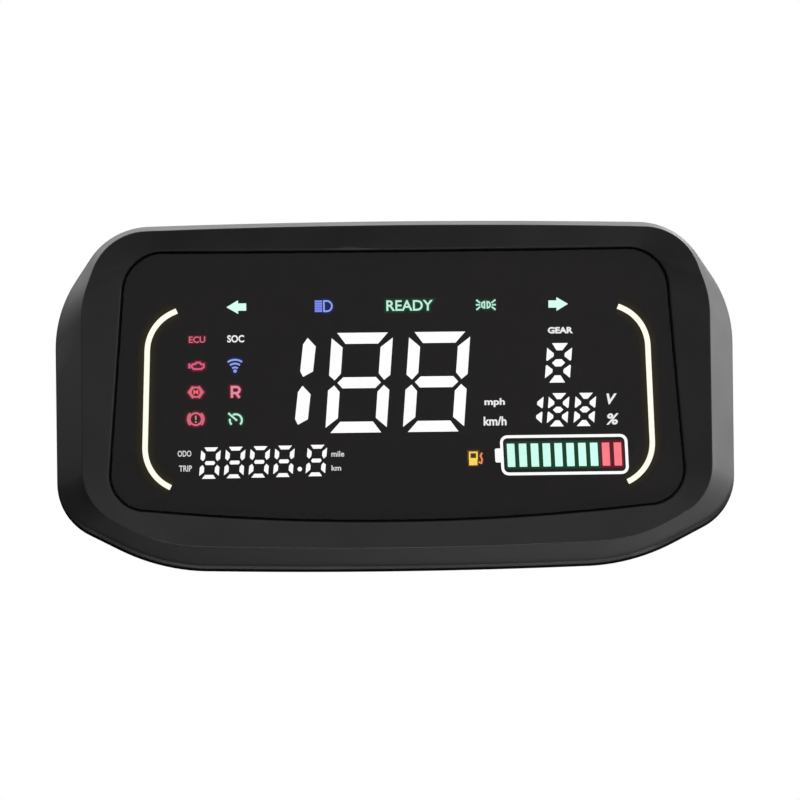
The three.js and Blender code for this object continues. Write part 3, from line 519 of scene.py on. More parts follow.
def surface(name, colour, roughness, metallic=0.0, scale=2.0, depth=0.004, variation=0.15, stretch=(1, 1, 1)):
    """A finish with fine relief, cloudy colour and uneven shine; stretch scales its grain along each axis."""
    material, tree = start_material(name)
    where = node(tree, "VectorMath", place(tree), stretch, operation="MULTIPLY").outputs[0]
    fine = noise(tree, where, scale, 4)
    return finished(material, node(
        tree, "BsdfPrincipled",
        Base_Color=clouded(tree, noise(tree, where, scale / 12, 3), colour, variation, 0.3, 0.7),
        Metallic=metallic,
        Roughness=ramp(tree, fine, [(0.3, roughness * 0.85), (0.7, min(1.0, roughness * 1.15))]),
        Normal=relief(tree, fine, depth),
    ))


def circuit_board():
    """Green solder mask over a grid of copper traces, which show as slightly raised lighter lines."""
    material, tree = start_material("solder_mask_green")
    where = place(tree)
    upright = node(tree, "VectorMath", where, (1, 0, 1), operation="MULTIPLY").outputs[0]
    flat = node(tree, "VectorRotate", upright, rotation_type="X_AXIS", Angle=-math.pi / 2).outputs[0]
    lines = node(tree, "TexBrick", Vector=flat, Scale=0.6, Mortar_Size=0.02).outputs["Fac"]
    mask = ramp(tree, noise(tree, where, 4, 2), [(0.3, (0.010, 0.075, 0.030)), (0.7, (0.014, 0.095, 0.038))])
    colour = blend(tree, lines, mask, (0.03, 0.18, 0.07, 1))
    normal = relief(tree, lines, 0.03, 0.6)
    return finished(material, node(tree, "BsdfPrincipled", Base_Color=colour, Roughness=0.35, Normal=normal))


LIP_DEPTH = 0.6
# Its wall behind the lip gets a painted shade.
# The bezel's edges get a strong painted highlight.
BEZEL_BLACK = moulded_plastic(
    "bezel_black", (0.028, 0.028, 0.029), 0.42, edge_light=3.0, painted_shade_behind=RIM_Y + LIP_DEPTH - 0.1
)
COVER_BLACK = moulded_plastic("cover_black", (0.024, 0.024, 0.025), 0.5, grain=0.35, depth=0.02)
PLUG_BLACK = moulded_plastic("plug_black", (0.018, 0.018, 0.019), 0.38, grain=0.3, depth=0.008)
LOCK_ORANGE = moulded_plastic(
    "lock_orange", (0.62, 0.14, 0.015), 0.35, depth=0.006, variation=0.08, edge_light=1.1
)
VENT_GREY = moulded_plastic("vent_grey", (0.075, 0.08, 0.085), 0.5, depth=0.01)
LENS_SMOKE = smoked_lens()
FILM_BLACK = printed_film()
RUBBER = surface("moulded_rubber", (0.016, 0.016, 0.016), 0.62, scale=3, depth=0.01, variation=0.3)
SILICONE = surface("silicone_orange", (0.50, 0.10, 0.03), 0.45, scale=2, depth=0.006)
SHEATH = surface(
    "cable_sheath", (0.018, 0.018, 0.019), 0.42, scale=2.5, depth=0.01, stretch=(0.15, 0.15, 2.5)
)
FOAM = surface("foam_black", (0.010, 0.010, 0.010), 0.95, scale=14, depth=0.08, variation=0.4)
MASK = surface("mask_black", (0.008, 0.007, 0.009), 0.7, scale=5, depth=0.003)
DIFFUSER = surface("diffuser_white", (0.82, 0.82, 0.79), 0.55, scale=6, depth=0.004, variation=0.04)
REFLECTOR = surface("reflector_white", (0.80, 0.80, 0.77), 0.6, scale=3, depth=0.008, variation=0.05)
LIGHT_GUIDE = surface("light_guide_warm", (0.95, 0.86, 0.62), 0.12, scale=1.5, depth=0.002, variation=0.05)
BOARD_GREEN = circuit_board()
EPOXY = surface("epoxy_black", (0.014, 0.014, 0.015), 0.55, scale=9, depth=0.01, variation=0.25)
CAN = surface("drawn_aluminium", (0.62, 0.62, 0.64), 0.28, 1.0, scale=3, depth=0.003, stretch=(1, 0.1, 1))
NYLON = surface("natural_nylon", (0.74, 0.71, 0.61), 0.42, scale=2, depth=0.005, variation=0.06)
BRASS = surface("turned_brass", (0.62, 0.43, 0.17), 0.30, 1.0, scale=5, depth=0.004, stretch=(1, 6, 1))
ZINC = surface("zinc_plate", (0.50, 0.50, 0.52), 0.33, 1.0, scale=4, depth=0.004, variation=0.2)


# ---- bezel, lens and film ----

SKIRT_WALL = 2.4
RIM_WALL = 4.4
LEDGE_WIDTH = 2.8
LENS_GAP = 0.3
LENS_CHAMFER = 0.3
LIP_BELOW, LIP_ASIDE = 1.6, 0.6


def behind_lip(ring, share):
    """The outline drawn in along its bottom and sides, which leaves a narrow lip before the parting line."""
    drawn_in = []
    for i, p in enumerate(ring):
        out = outward(ring, i)
        width = LIP_BELOW * max(-out.y, 0) + LIP_ASIDE * abs(out.x)
        drawn_in.append(p - out * width * share)
    return drawn_in


def build_bezel():
    inner = offset(rim, -RIM_WALL)
    ledge = offset(window_edge, -LEDGE_WIDTH)
    profile = [
        (window_edge, WINDOW_EDGE_Y, 0.6),
        (ridge, RIDGE_Y, 0.3),
        (behind_lip(rim, 1), RIM_Y, 0.1),
        (behind_lip(rim, 0.45), RIM_Y + LIP_DEPTH, 0.15),
        (rim, RIM_Y + 3 * LIP_DEPTH, 0.3),
        (rim, PARTING_Y, 0.25),
        (inner, PARTING_Y, 0.25),
        (inner, RIM_Y + 0.5, 0),
        (offset(ridge, -SKIRT_WALL), RIDGE_Y + 3.4, 0),
        (offset(window_edge, 1.2), LEDGE_BACK_Y, 0),
        (ledge, LEDGE_BACK_Y, 0),
        (ledge, LEDGE_FRONT_Y, 0),
        (window_edge, LEDGE_FRONT_Y, 0),
    ]
    corners = [at_depth(ring, y) for ring, y, _ in profile]
    rings = soften(corners, [reach for *_, reach in profile], hold=2)
    stand_in(loft("bezel", rings, BEZEL_BLACK), "front_bezel")


def build_lens():
    edge = offset(window_edge, -LENS_GAP)
    rings = [
        at_depth(offset(edge, -LENS_CHAMFER), LENS_FRONT_Y),
        at_depth(edge, LENS_FRONT_Y + LENS_CHAMFER),
        at_depth(edge, LENS_BACK_Y),
    ]
    lens = loft("smoked_lens", rings, LENS_SMOKE, closed=False, smooth=False)
    stand_in(lens, "lens")


def build_film():
    edge = offset(window_edge, -LENS_GAP)
    rings = [at_depth(edge, FILM_Y), at_depth(edge, FILM_BACK_Y)]
    film = loft("legend_film_black", rings, FILM_BLACK, closed=False, smooth=False)
    stand_in(film, "legend_film")


build_bezel()
build_lens()
build_film()


# ---- rear cover ----

COVER_INSIDE_Y = -8.5
COVER_OUTSIDE_Y = -6.0
MOUNT_Y = span("rear_cover", 1)[1]
FLANGE_BACK_Y = PARTING_Y + 3
SEAL_OUTER, SEAL_INNER, SEAL_DEPTH = 1.5, 3.5, 1.5
TUB_INSET, TUB_DRAFT, TUB_CHAMFER, TUB_WALL = 10.6, 2.0, 2.0, 2.2
COVER_INSET = 0.3
POST_RADIUS = 7.0
INSERT_HOLE, SCREW_HOLE, HEAD_HOLE, PILOT_HOLE = 4.2, 1.55, 3.2, 1.25  # radii
GROMMET_HOLE, VENT_HOLE = 5.0, 2.5
HEAD_DEPTH = 0.8
PAD_WIDTH, PAD_HEIGHT = 16, 12
RIB_WIDTH, RIB_TOP_Y = 1.6, -3.0
SIDE_RIB, UPPER_RIB = 12, 19  # lengths
PAST = 1.0  # how far tools reach into one another
INSERTS = [f"mount_insert_{k}" for k in (1, 2, 3)]
CASE_SCREWS = [f"case_screw_{k}" for k in range(1, 7)]
BOARD_SCREWS = [f"board_screw_{k}" for k in range(1, 5)]
MODULE_SCREWS = [f"module_screw_{k}" for k in range(1, 5)]


def tool_turned(node, profile, sides=48):
    return turned("tool", node, profile, COVER_BLACK, sides, body=None)


def cylinder_tool(node, radius, front, back):
    return tool_turned(node, [(0, front), (radius, front), (radius, back), (0, back)])


def raised(outline, steps):
    """A tool on the cover's back: the outline, grown by each amount at each (amount, y)."""
    rings = [at_depth(grown(outline, amount), y) for amount, y in steps]
    return loft("tool", rings, COVER_BLACK, closed=False, body=None)


def cutter(outline, ends, material):
    """A tool with straight walls between two depths."""
    return loft("tool", [at_depth(outline, y) for y in ends], material, closed=False, body=None)


def cover_shell():
    base, lip = COVER_OUTSIDE_Y, TUB_INSET + TUB_DRAFT
    profile = [
        (TUB_INSET + TUB_DRAFT + TUB_WALL, COVER_INSIDE_Y, 0),
        (TUB_INSET + TUB_WALL, PARTING_Y, 0),
        (SEAL_INNER, PARTING_Y, 0),
        (SEAL_INNER, PARTING_Y + SEAL_DEPTH, 0),
        (SEAL_OUTER, PARTING_Y + SEAL_DEPTH, 0),
        (SEAL_OUTER, PARTING_Y, 0),
        (COVER_INSET, PARTING_Y, 0.25),
        (COVER_INSET, FLANGE_BACK_Y, 0.9),
        (TUB_INSET, FLANGE_BACK_Y, 1.4),
        (lip, base - TUB_CHAMFER, 1.3),
        (lip + TUB_CHAMFER, base, 0),
    ]
    corners = [at_depth(ring_points(inset(RIM, distance)), y) for distance, y, _ in profile]
    rings = soften(corners, [reach for *_, reach in profile], closed=False)
    return loft("cover", rings, COVER_BLACK, closed=False)


def low_boss(radius, height, edge):
    """Profile of a low drafted boss on the cover's back."""
    root, top = COVER_OUTSIDE_Y - PAST, COVER_OUTSIDE_Y + height
    return rounded([(0, root), (radius + 0.4, root), (radius, top), (0, top)], edge)


def cover_bosses():
    """The raised features of the cover, none of which overlap."""
    outside, root, top = COVER_OUTSIDE_Y, COVER_OUTSIDE_Y - PAST, MOUNT_Y
    inside = COVER_INSIDE_Y - 3.5
    post = [
        (0, inside),
        (POST_RADIUS, inside),
        (POST_RADIUS, root),
        (POST_RADIUS + 1.3, root + 0.8),
        (POST_RADIUS + 0.9, outside + 0.25),
        (POST_RADIUS + 0.3, outside + 0.8),
        (POST_RADIUS, outside + 1.7),
        *rounded([(POST_RADIUS, top - 1), (POST_RADIUS, top), (0, top)], 0.5),
    ]
    foot = [(0.9, root), (0.9, outside), (0.3, outside + 0.5), (0, outside + 1.4)]
    pad = [*foot, (0, top - 0.5), (-0.15, top - 0.15), (-0.5, top)]
    boss_root = COVER_INSIDE_Y + 0.5
    inner_boss = [(0, MAIN_BOARD_BACK_Y), (2.6, MAIN_BOARD_BACK_Y), (2.9, boss_root), (0, boss_root)]
    return [
        *(tool_turned(node, post, 64) for node in INSERTS),
        raised(rounded_box(0, 0, PAD_WIDTH, PAD_HEIGHT, 1.5), pad),
        tool_turned("cable_grommet", low_boss(8.5, 2, 0.5), 64),
        tool_turned("vent_cap", low_boss(6, 1.2, 0.4), 64),
        *(tool_turned(node, inner_boss, 32) for node in BOARD_SCREWS),
    ]


def rib(x, z, width, height):
    outside, top = COVER_OUTSIDE_Y, RIB_TOP_Y
    foot = [(0.7, outside - PAST), (0.7, outside), (0.2, outside + 0.5), (0, outside + 1)]
    outline = rounded_box(x, z, width, height, RIB_WIDTH / 2 - 0.05)
    return raised(outline, [*foot, (-0.1, top - 0.2), (-0.3, top)])


def cover_ribs():
    """The ribs across the cover, and the upright ones that cross them above and below the rest pad."""
    upper, lower = centre_of("mount_insert_2"), centre_of("mount_insert_3")
    side = upper.x + POST_RADIUS + SIDE_RIB / 2 - PAST
    across = [
        rib(0, upper.z, 2 * (upper.x - POST_RADIUS + PAST), RIB_WIDTH),
        *(rib(x, upper.z, SIDE_RIB, RIB_WIDTH) for x in (side, -side)),
    ]
    pad_edge, post_edge = PAD_HEIGHT / 2, lower.z + POST_RADIUS
    upright = [
        rib(0, pad_edge + (UPPER_RIB - PAST) / 2, RIB_WIDTH, UPPER_RIB),
        rib(0, (post_edge - pad_edge) / 2, RIB_WIDTH, 2 * PAST - pad_edge - post_edge),
    ]
    return across, upright


def cover_holes():
    front, back, seat = PARTING_Y - PAST, FLANGE_BACK_Y + PAST, FLANGE_BACK_Y - HEAD_DEPTH
    narrow, wide = SCREW_HOLE, HEAD_HOLE
    screw_hole = [(0, front), (narrow, front), (narrow, seat), (wide, seat), (wide, back), (0, back)]
    insert_depths = (span("mount_insert_1", 1)[0], MOUNT_Y + PAST)
    pilot_depths = (MAIN_BOARD_BACK_Y - PAST, COVER_INSIDE_Y)
    through = (COVER_INSIDE_Y - PAST, COVER_OUTSIDE_Y + 4)
    return [
        *(cylinder_tool(node, INSERT_HOLE, *insert_depths) for node in INSERTS),
        *(tool_turned(node, screw_hole, 32) for node in CASE_SCREWS),
        *(cylinder_tool(node, PILOT_HOLE, *pilot_depths) for node in BOARD_SCREWS),
        cylinder_tool("cable_grommet", GROMMET_HOLE, *through),
        cylinder_tool("vent_cap", VENT_HOLE, *through),
    ]


def build_cover():
    cover = cover_shell()
    carve(cover, cover_bosses(), "UNION")
    for ribs in cover_ribs():
        carve(cover, ribs, "UNION")
    carve(cover, cover_holes(), "DIFFERENCE")
    cover.modifiers.new("even_normals", "WEIGHTED_NORMAL").keep_sharp = True
    stand_in(cover, "rear_cover")


# ---- fasteners, vent and inserts ----

def thread(radius, depth, pitch, start, end):
    """A zigzag of ridges that stands for a thread, as (radius, y) pairs."""
    turns = int(abs(end - start) / pitch)
    step = (end - start) / turns
    ridges = []
    for k in range(turns):
        ridges += [(radius - depth, start + step * k), (radius, start + step * (k + 0.5))]
    return ridges


def radius_of(node):
    """Half the width of a CAD node, in millimetres."""
    left, right = span(node, 0)
    return (right - left) / 2


def build_screw(node, towards):
    """A pan-head screw with a cross recess; towards is 1 with the head at the back, and -1 at the front."""
    low, high = span(node, 1)
    head = radius_of(node) * 1.02
    height, shank, root = head * 0.68, head * 0.52, head * 0.416
    length = high - low - height
    dome = [(root, 0), (head, 0), (head, height * 0.55), (head * 0.6, height), (0, height)]
    profile = [
        (0, -length),
        (shank * 0.5, -length),
        *thread(shank, shank * 0.22, 0.9, 0.8 - length, -0.5),
        (root, 0),
        *rounded(dome, [0, 0.15, 0.5, 0.6, 0]),
    ]
    vertices, faces = lathe(profile, 32)
    seat = high - height if towards > 0 else low + height
    middle = centre_of(node)
    placed = [Vector((v.x, seat + towards * v.y, v.z)) + middle for v in vertices]
    screw = make_object(node + "_turned", placed, faces, ZINC)
    narrow, wide, depth = head * 0.24, head * 1.1, head * 0.5
    ends = sorted(seat + towards * y for y in (height - depth, height + PAST))
    for size in ((wide, narrow), (narrow, wide)):
        outline = rounded_box(middle.x, middle.z, *size, narrow * 0.3)
        carve(screw, [cutter(outline, ends, ZINC)], "DIFFERENCE")
    stand_in(screw, node)


def build_insert(node):
    """A brass insert: threaded bore, two knurled bands and a groove between them."""
    low, high = span(node, 1)
    middle_y = (low + high) / 2
    radius, bore, ridge_height = 4.15, 2.5, 0.35
    groove = radius - 0.5
    outer = [
        (bore + 0.4, low),
        (radius - 0.3, low),
        (radius, low + 0.3),
        (radius, middle_y - 0.8),
        (groove, middle_y - 0.6),
        (groove, middle_y + 0.6),
        (radius, middle_y + 0.8),
        (radius, high - 0.2),
        (radius - 0.2, high),
        (bore + 0.5, high),
    ]
    inner = thread(bore + ridge_height, ridge_height, 0.8, high - 0.4, low + 0.4)
    vertices, faces = lathe([*outer, *inner], 64)
    middle = centre_of(node)
    knurled = []
    for i, v in enumerate(vertices):
        on_band = Vector((v.x, 0, v.z)).length > radius - 0.01
        squeeze = 1 - 0.04 * (i % 2) if on_band else 1
        knurled.append(Vector((v.x * squeeze, v.y, v.z * squeeze)) + middle)
    insert = make_object(node + "_knurled", knurled, faces, BRASS)
    insert.data.set_sharp_from_angle(angle=math.radians(25))
    stand_in(insert, node)


def build_vent():
    """A domed vent cap with eight slots round its edge."""
    low, high = span("vent_cap", 1)
    head, stem, seat = radius_of("vent_cap"), 2.2, high - 1.9
    dome = rounded([(stem, seat), (head, seat), (head, high - 0.7), (0, high)], [0, 0.2, 0.8, 0])
    vent = turned("vent_dome", "vent_cap", [(0, low), (stem, low), (stem, seat), *dome], VENT_GREY, 64)
    middle = centre_of("vent_cap")
    slots = []
    for k in range(8):
        turn = Matrix.Rotation(math.pi * k / 4, 2)
        outline = [turn @ p + Vector((middle.x, middle.z)) for p in rounded_box(head, 0, 1.8, 0.9, 0.3)]
        slots.append(cutter(outline, (seat + 0.4, high + PAST), VENT_GREY))
    carve(vent, slots, "DIFFERENCE")
    stand_in(vent, "vent_cap")


# ---- pigtail ----

CABLE_RADIUS = 3.4
CABLE_BEND = 11.0
CABLE_RUN_Y = sum(span("cable_boot", 1)) / 2
CABLE_Z = sum(span("cable", 2)) / 2


def along_cable(vertices, start_x):
    """Lays a solid made along +Y along the cable's run, from start_x."""
    return [Vector((start_x + v.y, CABLE_RUN_Y - v.x, CABLE_Z + v.z)) for v in vertices]


def build_grommet():
    """A cable grommet with a flange on either side of the wall and four bend-relief ribs behind it."""
    low, high = span("cable_grommet", 1)
    bore, neck, inner_flange, outer_flange = CABLE_RADIUS + 0.1, 4.9, 6.6, 6.9
    outside = COVER_OUTSIDE_Y + 2.1
    ribs = []
    for k in range(4):
        y, radius = 1.4 * k - 1.2, 5.5 - 0.13 * k
        ribs += [(radius, y), (radius, y + 0.55), (radius - 0.75, y + 0.75), (radius - 0.75, y + 1.2)]
    profile = [
        (bore, low),
        (inner_flange, low),
        (inner_flange, low + 0.8),
        (neck, low + 0.8),
        (neck, outside),
        (outer_flange, outside),
        (outer_flange, outside + 1.2),
        (5.6, outside + 1.7),
        *ribs,
        (4.6, high),
        (bore, high),
    ]
    grommet = turned("grommet_ribbed", "cable_grommet", rounded(profile, 0.16, closed=True), RUBBER)
    stand_in(grommet, "cable_grommet")


def build_cable():
    """The cable: straight out of the grommet, round a bend, and along the back to the plug."""
    x, start_y = centre_of("cable_grommet").x, span("cable", 1)[0]
    end_x = span("cable", 0)[1]
    bend_y = CABLE_RUN_Y - CABLE_BEND
    stations = [(x, start_y + (bend_y - start_y) * k / 8, 0) for k in range(8)]
    for k in range(25):
        a = math.pi / 2 * k / 24
        stations.append((x + CABLE_BEND * (1 - math.cos(a)), bend_y + CABLE_BEND * math.sin(a), a))
    straight = x + CABLE_BEND
    stations += [(straight + (end_x - straight) * k / 16, CABLE_RUN_Y, math.pi / 2) for k in range(1, 17)]
    round_cable = circle((0, 0), CABLE_RADIUS, 40)
    rings = []
    for px, py, heading in stations:
        side = Vector((math.cos(heading), -math.sin(heading), 0))
        rings.append([Vector((px, py, CABLE_Z + p.y)) + side * p.x for p in round_cable])
    cable = loft("cable_sheathed", rings, SHEATH, closed=False)
    cable.data.set_sharp_from_angle(angle=SHARP)
    stand_in(cable, "cable")


def build_boot():
    low, high = span("cable_boot", 0)
    length, bore, radius = high - low, CABLE_RADIUS + 0.1, 4.55
    ribs = []
    for k in range(5):
        y = 0.5 + 1.5 * k
        ribs += [(radius, y), (radius, y + 0.8), (radius - 0.55, y + 0.95), (radius - 0.55, y + 1.4)]
    profile = [(bore, 0), (radius - 0.4, 0), *ribs, (radius, 8.2), (radius, length), (bore, length)]
    vertices, faces = lathe(rounded(profile, 0.14, closed=True), 48)
    boot = make_object("boot_ribbed", along_cable(vertices, low), faces, RUBBER)
    stand_in(boot, "cable_boot")


def build_plug_seal():
    low, high = span("plug_seal", 0)
    nose_width, nose_height = 9.6, 14.0
    waves = 4
    steps = 6 * waves
    outline = rounded_box(0, 0, nose_width, nose_height, 1)
    rings = []
    for k in range(steps + 1):
        grow = 0.95 - 0.3 * math.cos(2 * math.pi * waves * k / steps)
        rings.append(at_depth(grown(outline, grow), (high - low) * k / steps))
    inner = rounded_box(0, 0, nose_width + 0.1, nose_height + 0.1, 0.3)
    rings += [at_depth(inner, high - low), at_depth(inner, 0)]
    seal = loft("seal_ribbed", [along_cable(ring, low) for ring in rings], SILICONE)
    seal.data.set_sharp_from_angle(angle=SHARP)
    stand_in(seal, "plug_seal")


EASED = (
    (FOAM, 0.05, ["lens_tape"]),
    (MASK, 0, ["mask_plate"]),
    (DIFFUSER, 0, ["segment_diffuser"]),
    (REFLECTOR, 0, ["reflector"]),
    (LIGHT_GUIDE, 0.1, ["light_bar_left", "light_bar_right"]),
    (BOARD_GREEN, 0.1, ["display_board", "main_board"]),
    (EPOXY, 0.15, ["mcu_chip", "bus_chip"]),
    (EPOXY, 0.2, ["power_regulator", "board_header_left", "board_header_right"]),
    (EPOXY, 0.4, ["power_inductor"]),
    (CAN, 0.4, ["capacitor_left", "capacitor_right"]),
    (NYLON, 0.3, ["wire_header", "wire_plug"]),
    (RUBBER, 0.3, ["perimeter_seal"]),
    (PLUG_BLACK, 0.25, ["plug_body"]),
    (PLUG_BLACK, 0.2, ["plug_latch"]),
    (LOCK_ORANGE, 0.12, ["plug_lock"]),
    (BRASS, 0.1, [f"terminal_{k}" for k in range(1, 9)]),
)


# ---- lit legends, printed on the film between it and the lens ----

# The halos and the plates behind some marks are painted glow: dim glowing copies for the light that spreads
# round each mark.
HALO_LAYER = (FILM_Y - 0.03, FILM_Y)
INK_LAYER = (FILM_Y - 0.07, FILM_Y - 0.03)

WHITE = (1.0, 1.0, 1.0)
MINT = (0.48, 0.84, 0.66)
PALE_MINT = (0.68, 1.0, 0.86)
BAR_MINT = (0.60, 1.0, 0.86)
ROSE = (0.60, 0.13, 0.19)
DEEP_ROSE = (0.66, 0.10, 0.21)
PALE_ROSE = (0.78, 0.24, 0.34)
BAR_RED = (0.94, 0.20, 0.23)
RED = (0.92, 0.13, 0.14)
GLARE = (0.48, 0.26, 0.24)
BLUE = (0.20, 0.25, 0.90)
PALE_BLUE = (0.26, 0.38, 0.75)
AMBER = (0.95, 0.66, 0.10)
ORANGE = (0.80, 0.25, 0.07)
CREAM = (1.0, 1.0, 0.86)
MINT_HALO = (0.0, 0.034, 0.013)
ROSE_HALO = (0.095, 0.0, 0.010)
BLUE_HALO = (0.004, 0.006, 0.10)
AMBER_HALO = (0.08, 0.035, 0.004)
BAR_HALOS = {5.6: (0.0035, 0.002, 0.0), 4.2: (0.008, 0.005, 0.0), 2.8: (0.014, 0.009, 0.0005)}  # by width
SOFT_WHITE = (0.84, 0.84, 0.84)
DIM_WHITE = (0.66, 0.66, 0.66)
inks = {}


def ink(colour):
    """The glowing ink of a colour, made once."""
    if colour not in inks:
        inks[colour] = lit_ink(f"lit_ink_{len(inks) + 1}", colour)
    return inks[colour]


def at(x, z, *pairs):
    """Points given from (x, z)."""
    return [Vector((x + a, z + b)) for a, b in pairs]


def plate(outline, layer):
    """A thin solid with a flat outline, as (vertices, faces)."""
    if sum(a.cross(b) for a, b in zip(outline, outline[1:] + outline[:1])) < 0:
        outline = outline[::-1]
    n = len(outline)
    vertices = [Vector((p.x, y, p.y)) for y in layer for p in outline]
    sides = [(i, i + n, (i + 1) % n + n, (i + 1) % n) for i in range(n)]
    return vertices, [tuple(range(n)), tuple(reversed(range(n, 2 * n))), *sides]


def strip(path, width, layer, closed=False):
    """A thin band of even width along a path, as (vertices, faces)."""
    n = len(path)
    edges = []
    for i, p in enumerate(path):
        before = path[i - 1] if closed or i else p
        after = path[(i + 1) % n] if closed or i < n - 1 else p
        into, out = (p - before).normalized(), (after - p).normalized()
        normal = Vector((-(into + out).y, (into + out).x)).normalized()
        side = out if out.length else into
        reach = width / 2 / max(0.4, normal.dot(Vector((-side.y, side.x))))
        edges.append((p - normal * reach, p + normal * reach))
    vertices = [Vector((q.x, y, q.y)) for y in layer for pair in edges for q in pair]
    faces = []
    for i in range(n if closed else n - 1):
        j = (i + 1) % n
        a, b, c, d = 2 * i, 2 * i + 1, 2 * j + 1, 2 * j
        back = 2 * n
        faces += [(a, d, c, b), (a + back, b + back, c + back, d + back)]
        faces += [(a, a + back, d + back, d), (b, c, c + back, b + back)]
    if not closed:
        last = 2 * (n - 1)
        faces += [(0, 1, 1 + back, back), (last, last + back, last + 1 + back, last + 1)]
    return vertices, faces


def mark(name, solids, colour):
    """One lit piece made of thin solids."""
    vertices, faces = [], []
    for some_vertices, some_faces in solids:
        faces += [tuple(i + len(vertices) for i in face) for face in some_faces]
        vertices += some_vertices
    made = make_object(name, vertices, faces, ink(colour), smooth=False)
    return made


def icon(name, colour, halo, lines=(), loops=(), fills=(), width=0.4, spread=0.9):
    """A symbol of open lines, closed loops and filled outlines, with a dim halo of its own colour."""
    strokes = [(path, True) for path in loops] + [(path, False) for path in lines]
    bright = [strip(path, width, INK_LAYER, closed) for path, closed in strokes]
    mark(name, bright + [plate(fill, INK_LAYER) for fill in fills], colour)
    if halo:
        glow = [strip(path, width + spread, HALO_LAYER, closed) for path, closed in strokes]
        mark(name + "_halo", glow + [plate(grown(fill, spread / 2), HALO_LAYER) for fill in fills], halo)


def legend(name, words, box, colour, halo=None, lean=0.0, bold=0.02):
    """Plain lettering fitted to a box (left, right, bottom, top)."""
    left, right, bottom, top = box
    layers = [(name, colour, bold, INK_LAYER)]
    if halo:
        layers.append((name + "_halo", halo, bold + 0.13, HALO_LAYER))
    scale = None
    for piece, shade, weight, layer in layers:
        text = bpy.data.curves.new(piece, "FONT")
        text.body, text.shear, text.offset = words, lean, weight
        text.align_x, text.align_y = "CENTER", "CENTER"
        text.resolution_u = 4
        obj = add_object(piece, text)
        bpy.context.view_layer.update()
        if scale is None:
            low, high = Vector(obj.bound_box[0]), Vector(obj.bound_box[6])
            scale = ((right - left) / (high.x - low.x), (top - bottom) / (high.y - low.y))
            middle = (low + high) / 2
        text.extrude = (layer[1] - layer[0]) / 2
        obj.rotation_euler = (math.pi / 2, 0, 0)
        obj.scale = (scale[0] * MM, scale[1] * MM, MM)
        x, z = (left + right) / 2 - middle.x * scale[0], (bottom + top) / 2 - middle.y * scale[1]
        obj.location = Vector((x, sum(layer) / 2, z)) * MM
        text.materials.append(ink(shade))
        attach(obj, BODY)


def digit_segments(x, z, width, height, stroke, bar, corner, mitre, gap, peak, lean):
    """Outlines of the seven bars of one digit: its four uprights, right ones first, then the crosswise bars.

    stroke and bar are the thicknesses of the uprights and of the crosswise bars, corner their distance
    from the outer corners, mitre the slant of the bars' ends, gap the break between the pieces and
    peak the place of the uprights' tips beside the middle bar, as a share of the stroke from outside.
    """
    w, h = width / 2, height / 2
    inner = w - stroke
    foot = 0.7 * gap
    side = [
        (w, h - corner),
        (inner, h - bar - gap),
        (inner, bar / 2 + gap),
        (w - peak * stroke, foot),
        (w, foot + 0.85 * peak * stroke),
    ]
    end = inner - mitre
    cross = [(corner - w, h), (w - corner, h), (end, h - bar), (-end, h - bar)]
    tip = w - stroke / 2 - 0.85 * gap
    middle = [(-tip, 0), (-end, bar / 2), (end, bar / 2), (tip, 0), (end, -bar / 2), (-end, -bar / 2)]
    sides = [[(a * across, b * up) for a, b in side] for across in (1, -1) for up in (1, -1)]
    crosses = [[(a, b * up) for a, b in cross] for up in (1, -1)]
    return [[Vector((x + a + lean * b, z + b)) for a, b in outline] for outline in [*sides, *crosses, middle]]


def one_segments(x, z, length, stroke, gap, lean):
    """Outlines of the two bars of the large leading one."""
    half, s = length / 2, stroke
    bar = [
        (-0.2 * s, half),
        (s / 2, half - 0.68 * s),
        (s / 2, 0.41 * s - half),
        (-0.23 * s, -half),
        (-s / 2, 0.45 * s - half),
        (-s / 2, half - 0.5 * s),
    ]
    middles = [up * (half + gap / 2) for up in (1, -1)]
    return [[Vector((x + a + lean * (m + b), z + m + b)) for a, b in bar] for m in middles]


SPEED = {
    "z": 3.74, "width": 15.25, "height": 24.9, "stroke": 2.9, "bar": 2.75, "corner": 1.3,
    "mitre": 0.65, "gap": 0.9, "peak": 0.5, "lean": 0.08,
}
TRIP = {
    "width": 4.85, "height": 7.8, "stroke": 1.08, "bar": 0.95, "corner": 0.72,
    "mitre": 0.34, "gap": 0.68, "peak": 0.6, "lean": 0.09,
}
GEAR = {
    "x": 40.4, "z": 8.1, "width": 6.25, "height": 9.85, "stroke": 1.75, "bar": 1.8, "corner": 1.15,
    "mitre": 0.65, "gap": 0.72, "peak": 0.15, "lean": 0.085,
}
CHARGE = {
    "z": -3.62, "width": 5.15, "height": 8.3, "stroke": 1.48, "bar": 1.5, "corner": 0.85,
    "mitre": 0.6, "gap": 0.6, "peak": 0.15, "lean": 0.085,
}
LEADING_ONE = {"x": -22.8, "z": 4.25, "length": 9.7, "stroke": 3.2, "gap": 2.2, "lean": 0.12}
SPEED_PLACES = (-9.45, 9.85)
CHARGE_ONE, *CHARGE_PLACES = (33.7, 40.15, 46.85)
TRIP_PLACES = (-46.8, -40.67, -34.54, -28.41, -20.35)
TRIP_Z = -15.3  # height of the trip row where it would cross the middle; it climbs to the right
TRIP_RISE = 0.011
TRIP_POINT = {"centre": (-24.5, -17.6), "radius": 0.56}


def build_digits():
    groups = {
        "speed_digits": [
            *one_segments(**LEADING_ONE),
            *(outline for x in SPEED_PLACES for outline in digit_segments(x, **SPEED)),
        ],
        "trip_digits": [
            *(outline for x in TRIP_PLACES for outline in digit_segments(x, TRIP_Z + TRIP_RISE * x, **TRIP)),
            circle(**TRIP_POINT),
        ],
        "gear_digit": digit_segments(**GEAR),
        "charge_digits": [
            *digit_segments(CHARGE_ONE, **CHARGE)[:2],
            *(outline for x in CHARGE_PLACES for outline in digit_segments(x, **CHARGE)),
        ],
    }
    for name, outlines in groups.items():
        mark(name, [plate(outline, INK_LAYER) for outline in outlines], WHITE)


